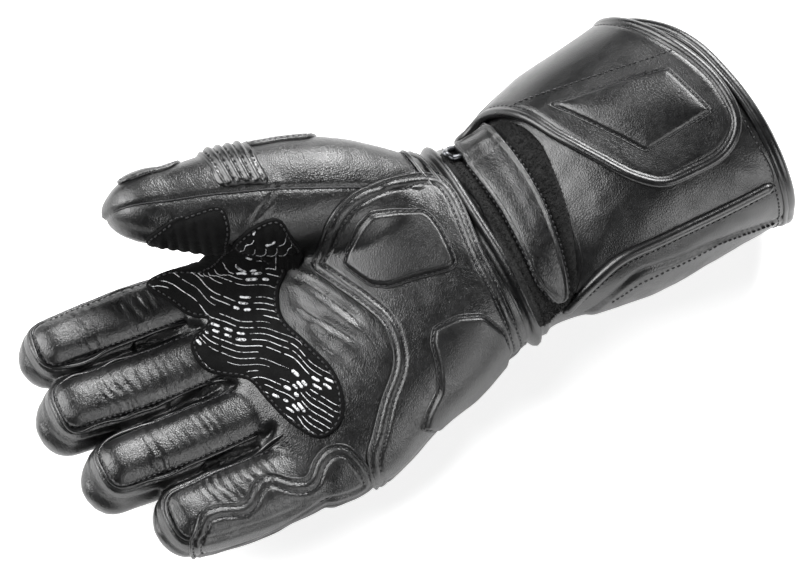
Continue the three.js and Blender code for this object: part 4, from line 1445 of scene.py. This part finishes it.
class GLOVE_OT_palm_pads(bpy.types.Operator):
    """Makes the two raised pads on the heel of the hand and swells them by simulation"""
    bl_idname = "glove.palm_pads"
    bl_label = "Palm Pads"

    def execute(self, context):
        overlay = made["heel_overlay"]["tree"]
        layout = Draped(overlay)
        for name, outline in (("thenar_pad", THENAR_PAD), ("hypothenar_pad", HYPOTHENAR_PAD)):
            height = pad_height(0.05, 1.7, 1.5, 0.4, 0.95)
            edge_rows = (0.3, 0.65, 0.95, 1.25, 1.55, 1.8, 2.1, 2.5, 3.0, 3.8)
            piece = patch(layout, outline, height, edge_rows, 1.4, 3, calm=5, straight=True)
            points = swollen(piece, 2.0)
            pad = leather_cover(name, points, piece["faces"], pad_leather())
            sewn["hand"].append(row_on(piece, 0.95, lambda p: p[:, 2] > 27))
        return {"FINISHED"}


PAD_SWELL = 0.8  # the farthest that the simulation may move a point of a pad
SIMULATION_SCALE = 0.01  # the simulation runs ten times life size, where its steps are steadier
SIMULATION_FRAMES = 20


def swollen(piece, margin):
    """Blows a pad up a little with Cloth pressure, its sewn margin held, and returns its points."""
    points = piece["points"].copy()
    mesh = bpy.data.meshes.new("pad_form")
    mesh.from_pydata((points * SIMULATION_SCALE).tolist(), [], [tuple(f) for f in piece["faces"]])
    form = bpy.data.objects.new("pad_form", mesh)
    bpy.context.scene.collection.objects.link(form)
    held = form.vertex_groups.new(name="held")
    count = len(piece["top"])
    fixed = np.where(piece["inside"] < margin + 0.6)[0].tolist() + list(range(count, 2 * count))
    held.add(fixed, 1.0, "REPLACE")
    cloth = form.modifiers.new("Cloth", "CLOTH")
    cloth.settings.quality = 5
    cloth.settings.mass = 0.3
    cloth.settings.tension_stiffness = 40
    cloth.settings.compression_stiffness = 40
    cloth.settings.shear_stiffness = 20
    cloth.settings.bending_stiffness = 2
    cloth.settings.use_pressure = True
    cloth.settings.uniform_pressure_force = 4
    cloth.settings.vertex_group_mass = "held"
    cloth.settings.effector_weights.gravity = 0
    cloth.point_cache.frame_start, cloth.point_cache.frame_end = 1, SIMULATION_FRAMES
    for number in range(1, SIMULATION_FRAMES + 1):
        bpy.context.scene.frame_set(number)
    depsgraph = bpy.context.evaluated_depsgraph_get()
    result = form.evaluated_get(depsgraph).data
    moved = np.empty(len(result.vertices) * 3)
    result.vertices.foreach_get("co", moved)
    shift = moved.reshape(-1, 3) / SIMULATION_SCALE - points
    bpy.context.scene.frame_set(1)
    bpy.data.objects.remove(form)
    bpy.data.meshes.remove(mesh)
    far = np.linalg.norm(shift, axis=1, keepdims=True)
    shift *= np.minimum(1, PAD_SWELL / np.maximum(far, 1e-9))
    shift[:count] = relaxed(shift[:count], piece["edges"], 4)
    shift[fixed] = 0
    return points + shift


THUMB_RIB_PANEL = [
    (-49, 50.8), (-41, 47.6), (-32, 44), (-31, 54), (-30.5, 62, 58), (-31, 68, 48), (-35, 72, 40),
    (-50, 74, 42), (-51, 71, 58), (-49, 61),
]
RIBS = 4
THUMB_TIP_PANEL = [(-79, 71), (-70, 70), (-60, 69), (-58, 72, 56), (-66, 73, 52), (-77, 75, 54)]
THUMB_KNUCKLE_PANEL = [(-31, 63), (-18, 59), (-7, 55.5), (-5, 58, 42), (-16, 62, 38), (-29, 66, 42)]


class GLOVE_OT_thumb_panels(bpy.types.Operator):
    """Makes the ribbed panel over the thumb's joint and the two thin panels on its back"""
    bl_idname = "glove.thumb_panels"
    bl_label = "Thumb Panels"

    def execute(self, context):
        layout = Round(hand_skin()["tree"], (5, 28, 39), (-56, 53, 57), 20, (0.4, 0.9, 0), 30)

        def ribs(distance, base):
            left = -46.8 - 0.004 * np.maximum(0, base[:, 1] - 56) ** 2
            right = -33.8 + 0.07 * np.maximum(0, base[:, 1] - 46)
            share = (base[:, 0] - left) / (right - left)
            wave = np.abs(np.sin(share * math.pi * RIBS)) ** 0.7
            inside = eased((share + 0.02) / 0.05) * eased((1.02 - share) / 0.05)
            pipe = bell(share + 0.08, 0.055) + bell(share - 1.08, 0.055)
            ridges = 2.1 * wave * inside + 1.1 * pipe
            return 0.1 + 0.3 * rounded_edge(distance, 0.5) + eased(distance / 1.2) * ridges
        piece = patch(layout, THUMB_RIB_PANEL, ribs, (0.4, 0.9, 1.4), 0.8, 3, calm=14)
        make_piece("thumb_rib_leather", piece["points"], piece["faces"], edge_leather(),
                   ["thumb_rib_panel"])
        for name, outline in (("thumb_tip_panel", THUMB_TIP_PANEL),
                              ("thumb_knuckle_panel", THUMB_KNUCKLE_PANEL)):
            height = sheet_height(0.1, 1.3, (1.4,), 0.8, 0.2, 5)
            piece = patch(layout, outline, height, (0.4, 0.9, 1.4), 1.2)
            leather_cover(name, piece["points"], piece["faces"], palm_leather())
            sewn["hand"].append(row_on(piece, 1.4))
        return {"FINISHED"}


# Outlines of the closure on the cuff, as on the hand
LOOP_PATCH = [
    (40, 30.2), (60, 30), (68, 22), (70.5, 13), (69, -4), (65.5, -20), (60.5, -34), (55, -44),
    (50, -48, 36), (44, -49.5, 33), (37, -49.5, 34), (34.5, -46), (34.5, -40), (37.5, 0),
]
WRIST_STRAP = [
    (41.2, 27), (41.4, 20), (42.3, 8), (43.2, -4), (42, -20), (40.6, -30), (40.2, -38.5), (42, -40.5),
    (47.5, -45), (50, -45.2), (52.2, -43), (55.2, -36), (58.5, -24), (60.8, -8), (61.2, 5), (60.8, 18),
    (60.2, 27),
]
RING_LINE = [
    (34.6, 26.0), (36.2, 23.2), (43, 21.8), (54, 22), (56.6, 23), (55.6, 24.2), (48, 25), (38, 27),
]
RING_TAB = [(41, 33), (58, 32), (58, 33, 44), (58, 33, 30), (41, 33, 30), (41, 33, 44)]


def cuff_round(tree=None):
    return Round(tree or cuff_skin()["tree"], (30, -8, 22), (31, -8, 22), 45)


class GLOVE_OT_wrist_closure(bpy.types.Operator):
    """Makes the loop tape, the strap that turns over the metal ring, the ring and its tab"""
    bl_idname = "glove.wrist_closure"
    bl_label = "Wrist Closure"

    def execute(self, context):
        def fuzzy(distance, base):
            return 0.2 + 1.0 * rounded_edge(distance, 0.8) + 0.35 * speckle(base, 1.1, 20.0)
        tape = patch(cuff_round(), LOOP_PATCH, fuzzy, (0.4, 0.9), 0.8, 3)
        tufts = tuft_mesh(tape, context.scene.glove_stage.seed)
        points, faces = together([(tape["points"], tape["faces"]), tufts])
        make_piece("loop_tape_patch", points, faces, loop_tape(), ["loop_patch"])

        def strap_height(distance, base):
            rise = 1.75 + 2.0 * (0.3 + 0.7 * rounded_edge(distance, 0.8)) - 0.45 * bell(distance - 1.9, 0.7)
            rise += 0.5 * eased((distance - 2.2) / 4)
            rise += 2.0 * eased((base[:, 1] - 16) / 5)
            rise += 0.5 * bell(base[:, 1] + 22, 9) + 0.18 * speckle(base, 6, 15.0)
            return rise
        edge_rows = (0.35, 0.8, 1.3, 1.9, 2.5, 3.2)
        strap = patch(cuff_round(), WRIST_STRAP, strap_height, edge_rows, 1.1, 3, -1.6, 10)
        leather_cover("wrist_strap", strap["points"], strap["faces"], palm_leather())
        sewn["cuff"].append(row_on(strap, 1.9, lambda p: p[:, 1] < 19.5))

        tab_height = sheet_height(0.3, 1.8, (1.6,), 0.8)
        tab = patch(cuff_round(), RING_TAB, tab_height, (0.4, 0.9, 1.6, 2.3), 1.2, 3)
        leather_cover("ring_tab", tab["points"], tab["faces"], palm_leather())

        line = softened(curved(RING_LINE, 0.6, True), 6)
        flat = outline_on(cuff_skin()["tree"], [tuple(p) for p in line])
        base, up = snapped(cuff_skin()["tree"], flat)
        up = unit(relaxed(up, ring_edges(len(up)), 12))
        base = softened(base, 6)
        points, faces = tube(base + up * 2.9, up, 1.25, 1.25, 12, True)
        make_piece("strap_ring_metal", points, faces, metal(), ["strap_ring"])
        return {"FINISHED"}


TUFTS = 15000
TUFT_RADIUS = 0.15


def tuft_mesh(tape, seed):
    """Short curled fibres standing on the loop tape."""
    rng = np.random.default_rng(seed)
    top, faces = tape["top"], tape["top_faces"]
    picks = rng.integers(0, len(faces), TUFTS)
    weight = rng.dirichlet((1, 1, 1), len(picks))
    root = (top[faces[picks]] * weight[..., None]).sum(1)
    up = tape["normals"][faces[picks, 0]]
    lean = rng.normal(0, 0.6, (len(picks), 3))
    out = unit(up + lean)
    side = unit(np.cross(out, rng.normal(0, 1, (len(picks), 3))))
    other = np.cross(out, side)
    height = rng.uniform(0.5, 1.5, (len(picks), 1))
    foot = root - up * 0.1
    behind, beside = side * TUFT_RADIUS * 0.5, other * TUFT_RADIUS * 0.87
    points = np.stack([foot + side * TUFT_RADIUS, foot - behind + beside, foot - behind - beside,
                       root + out * height], 1)
    index = np.arange(len(picks))[:, None] * 4
    tris = np.concatenate([index + [0, 1, 3], index + [1, 2, 3], index + [2, 0, 3], index + [0, 2, 1]])
    return points.reshape(-1, 3), tris


CUFF_UNDERLAP = [
    (64, 40, 40), (64, 30), (65.5, 10), (64, -20), (61, -38), (54, -47), (63, -46.5), (73, -45.5),
    (93, -47.5), (120, -49.5), (141, -50.5), (141.3, -30), (141.3, -5), (138, 10), (131, 26),
    (124, 40, 44),
]
UNDERLAP_EDGE = [
    (47, -50, 31), (54, -47.5), (63, -46.5), (73, -45.5), (93, -47.5), (120, -49.5), (141, -50.5),
]
CUFF_FLAP = [
    (50, 36, 32), (57, 35, 36), (65, 30), (72, 20), (77, 7), (86, -10), (94, -24), (101, -30.5),
    (113, -32.5), (131, -31.5), (138, -26), (140.5, -12), (137, 7), (130, 24), (124, 36), (120, 45, 50),
    (118, 45, 34), (80, 45, 32), (57, 42, 29), (48, 40, 27),
]
FLAP_PAD = [(79.5, 21.7), (126.9, 8.1), (132.4, -17.8), (101.6, -18.1)]
FLAP_LINE = [(66, 31), (72.8, 29.3), (88.2, 24.8), (103.7, 20.4), (119.1, 16.1), (132, 12.6)]


class GLOVE_OT_cuff_closure(bpy.types.Operator):
    """Makes the palm side leather of the cuff, the closure flap, its rolled edge and its raised pad"""
    bl_idname = "glove.cuff_closure"
    bl_label = "Cuff Closure"

    def execute(self, context):
        under_height = sheet_height(0.0, 0.3, (), 1.0, 1.5, 22)
        under = patch(cuff_round(), CUFF_UNDERLAP, under_height, (0.4, 0.9, 1.6), 1.5, 4)
        leather_cover("cuff_underlap", under["points"], under["faces"], smooth_leather())
        line = outline_on(cuff_skin()["tree"], UNDERLAP_EDGE)
        line = softened(curved(line, 0.8), 8, False)
        _, up = snapped(cuff_skin()["tree"], line)
        up = unit(relaxed(up, np.stack([np.arange(len(up) - 1), np.arange(1, len(up))], 1), 20))
        points, faces = tube(line + up * 1.0, up, 2.2, 1.9, 14, False, 3)
        make_piece("underlap_piping", points, faces, edge_leather())
        across = unit(np.cross(np.gradient(line, axis=0), up))
        if across[:, 1].mean() > 0:
            across = -across
        sewn["cuff"].append(snapped(cuff_skin()["tree"], line + across * 3.4))

        def flap_height(distance, base):
            free = eased((38 - base[:, 1]) / 20) * eased((16 - distance) / 16)
            rise = 2.0 + 2.2 * (0.3 + 0.7 * rounded_edge(distance, 1.2)) + 0.9 * free
            rise -= 0.45 * bell(distance - 2.6, 0.6)
            rise += 0.3 * speckle(base, 22, 17.0)
            return rise
        def tucked(base):
            return -1.4 + 1.7 * eased((base[:, 1] - 28) / 4)

        whole = cuff_round()
        edge_rows = (0.5, 1.2, 1.8, 2.2, 2.6, 3.0, 3.6, 4.6)
        flap = patch(whole, CUFF_FLAP, flap_height, edge_rows, 1.4, 6, tucked, 24)
        leather_cover("cuff_flap", flap["points"], flap["faces"], smooth_leather())
        sewn["cuff"].append(row_on(flap, 2.6, lambda p: (p[:, 1] < 37) | (p[:, 0] > 117)))

        edge = softened(whole.lay(evenly(flap["loop"], 0.9, True)), 10)
        up = flap["normals"][near(edge, flap["top"])[1]]
        for _ in range(2):
            up = unit(relaxed(up, ring_edges(len(up)), 10))
        free = eased((38 - edge[:, 1]) / 20)[:, None]
        points, faces = tube(edge + up * (3.0 + 0.9 * free), up, 1.9, 1.9, 14, True)
        make_piece("flap_rolled_edge", points, faces, edge_leather(), ["flap_binding"])

        def quilted(distance, base):
            rise = 0.1 + 0.35 * rounded_edge(distance, 0.4) - 0.55 * bell(distance - 0.9, 0.55)
            return rise + 1.3 * rounded_edge(distance - 1.1, 5.5) + 0.8 * eased((distance - 2) / 12)

        edge_rows = (0.3, 0.6, 0.9, 1.2, 1.6, 2.1, 2.8, 3.6, 4.6)
        pad = patch(cuff_round(flap["tree"]), FLAP_PAD, quilted, edge_rows, 1.4, 4, calm=4, straight=True)
        points = swollen(pad, 1.8)
        cushion = leather_cover("flap_pad", points, pad["faces"], smooth_leather())
        sewn["cuff"].append(row_on(pad, 0.9))
        row = outline_on(flap["tree"], [tuple(p) for p in curved(FLAP_LINE, 0.8)])
        row = softened(row, 4, False)
        sewn["cuff"].append(snapped(flap["tree"], row))
        return {"FINISHED"}


class GLOVE_OT_stitching(bpy.types.Operator):
    """Sews every row that the other pieces have left"""
    bl_idname = "glove.stitching"
    bl_label = "Stitching"

    def execute(self, context):
        for place, rows in sewn.items():
            points, faces = stitches(rows, context.scene.glove_sewing)
            make_piece(place + "_stitches", points, faces, thread())
        return {"FINISHED"}


FLOOR_WIDTH = 8.0
# The point in the glove that the camera and the lights look at, in metres
AIM = (-0.00097, -0.01178, 0.040)
# Each light's name, place and size, in metres
LIGHTS = (
    ("key_light", (-0.96, 0.75, 1.03), 1.2),
    ("fill_light", (0.35, -1.15, 0.8), 0.9),
    ("rim_light", (0.95, 0.75, 0.95), 0.75),
)


class GLOVE_OT_stage(bpy.types.Operator):
    """Makes the floor, the lights, the white surroundings and the camera"""
    bl_idname = "glove.stage"
    bl_label = "Stage"

    def execute(self, context):
        look, stage = context.scene.glove_look, context.scene.glove_stage
        mesh = bpy.data.meshes.new("studio_floor")
        half = FLOOR_WIDTH / 2
        corners = [(-half, -half, 0), (half, -half, 0), (half, half, 0), (-half, half, 0)]
        mesh.from_pydata(corners, [], [(0, 1, 2, 3)])
        mesh.materials.append(floor_material(look.floor))
        floor = bpy.data.objects.new("studio_floor", mesh)
        context.scene.collection.objects.link(floor)
        aim = Vector(AIM)
        powers = {"key_light": stage.key, "fill_light": stage.fill, "rim_light": stage.rim}
        for name, place, size in LIGHTS:
            data = bpy.data.lights.new(name, "AREA")
            data.shape = "SQUARE"
            data.energy = powers[name]
            data.size = size
            light = bpy.data.objects.new(name, data)
            light.location = place
            light.rotation_euler = (aim - Vector(place)).to_track_quat("-Z", "Y").to_euler()
            context.scene.collection.objects.link(light)
        world = bpy.data.worlds.new("studio")
        world.use_nodes = True
        background = world.node_tree.nodes["Background"]
        background.inputs[0].default_value = (1, 1, 1, 1)
        background.inputs[1].default_value = stage.sky
        context.scene.world = world
        context.scene.view_settings.view_transform = "Standard"
        camera = bpy.data.cameras.new("camera")
        camera.lens = stage.lens
        camera.sensor_width = 36
        camera.clip_end = 20
        eye = bpy.data.objects.new("camera", camera)
        back = Vector((math.sin(stage.azimuth) * math.cos(stage.elevation),
                       -math.cos(stage.azimuth) * math.cos(stage.elevation), math.sin(stage.elevation)))
        eye.location = aim + back * stage.distance
        eye.rotation_euler = (-back).to_track_quat("-Z", "Y").to_euler()
        context.scene.collection.objects.link(eye)
        context.scene.camera = eye
        return {"FINISHED"}


OPERATORS = (
    GLOVE_OT_hand_leather, GLOVE_OT_cuff_leather, GLOVE_OT_heel_overlay, GLOVE_OT_grip_panel,
    GLOVE_OT_palm_pads, GLOVE_OT_thumb_panels, GLOVE_OT_wrist_closure, GLOVE_OT_cuff_closure,
    GLOVE_OT_stitching, GLOVE_OT_stage,
)
SETTINGS = (
    ("glove_shape", GloveShape), ("glove_sewing", GloveSewing), ("glove_look", GloveLook),
    ("glove_stage", GloveStage),
)


class GLOVE_PT_panel(bpy.types.Panel):
    """Lists the glove's pieces and settings"""
    bl_idname = "GLOVE_PT_panel"
    bl_label = "Gauntlet Glove"
    bl_space_type = "VIEW_3D"
    bl_region_type = "UI"
    bl_category = "Glove"

    def draw(self, context):
        for made_class in OPERATORS:
            self.layout.operator(made_class.bl_idname)
        for name, group in SETTINGS:
            box = self.layout.box()
            for key in group.__annotations__:
                box.prop(getattr(context.scene, name), key)


def register():
    for name, group in SETTINGS:
        bpy.utils.register_class(group)
        setattr(bpy.types.Scene, name, PointerProperty(type=group))
    for made_class in OPERATORS + (GLOVE_PT_panel,):
        bpy.utils.register_class(made_class)


def unregister():
    for made_class in (GLOVE_PT_panel,) + OPERATORS[::-1]:
        bpy.utils.unregister_class(made_class)
    for name, group in SETTINGS[::-1]:
        delattr(bpy.types.Scene, name)
        bpy.utils.unregister_class(group)


def main():
    register()
    bpy.ops.glove.hand_leather()
    bpy.ops.glove.cuff_leather()
    bpy.ops.glove.heel_overlay()
    bpy.ops.glove.grip_panel()
    bpy.ops.glove.palm_pads()
    bpy.ops.glove.thumb_panels()
    bpy.ops.glove.wrist_closure()
    bpy.ops.glove.cuff_closure()
    bpy.ops.glove.stitching()
    bpy.ops.glove.stage()


if __name__ == "__main__":
    main()
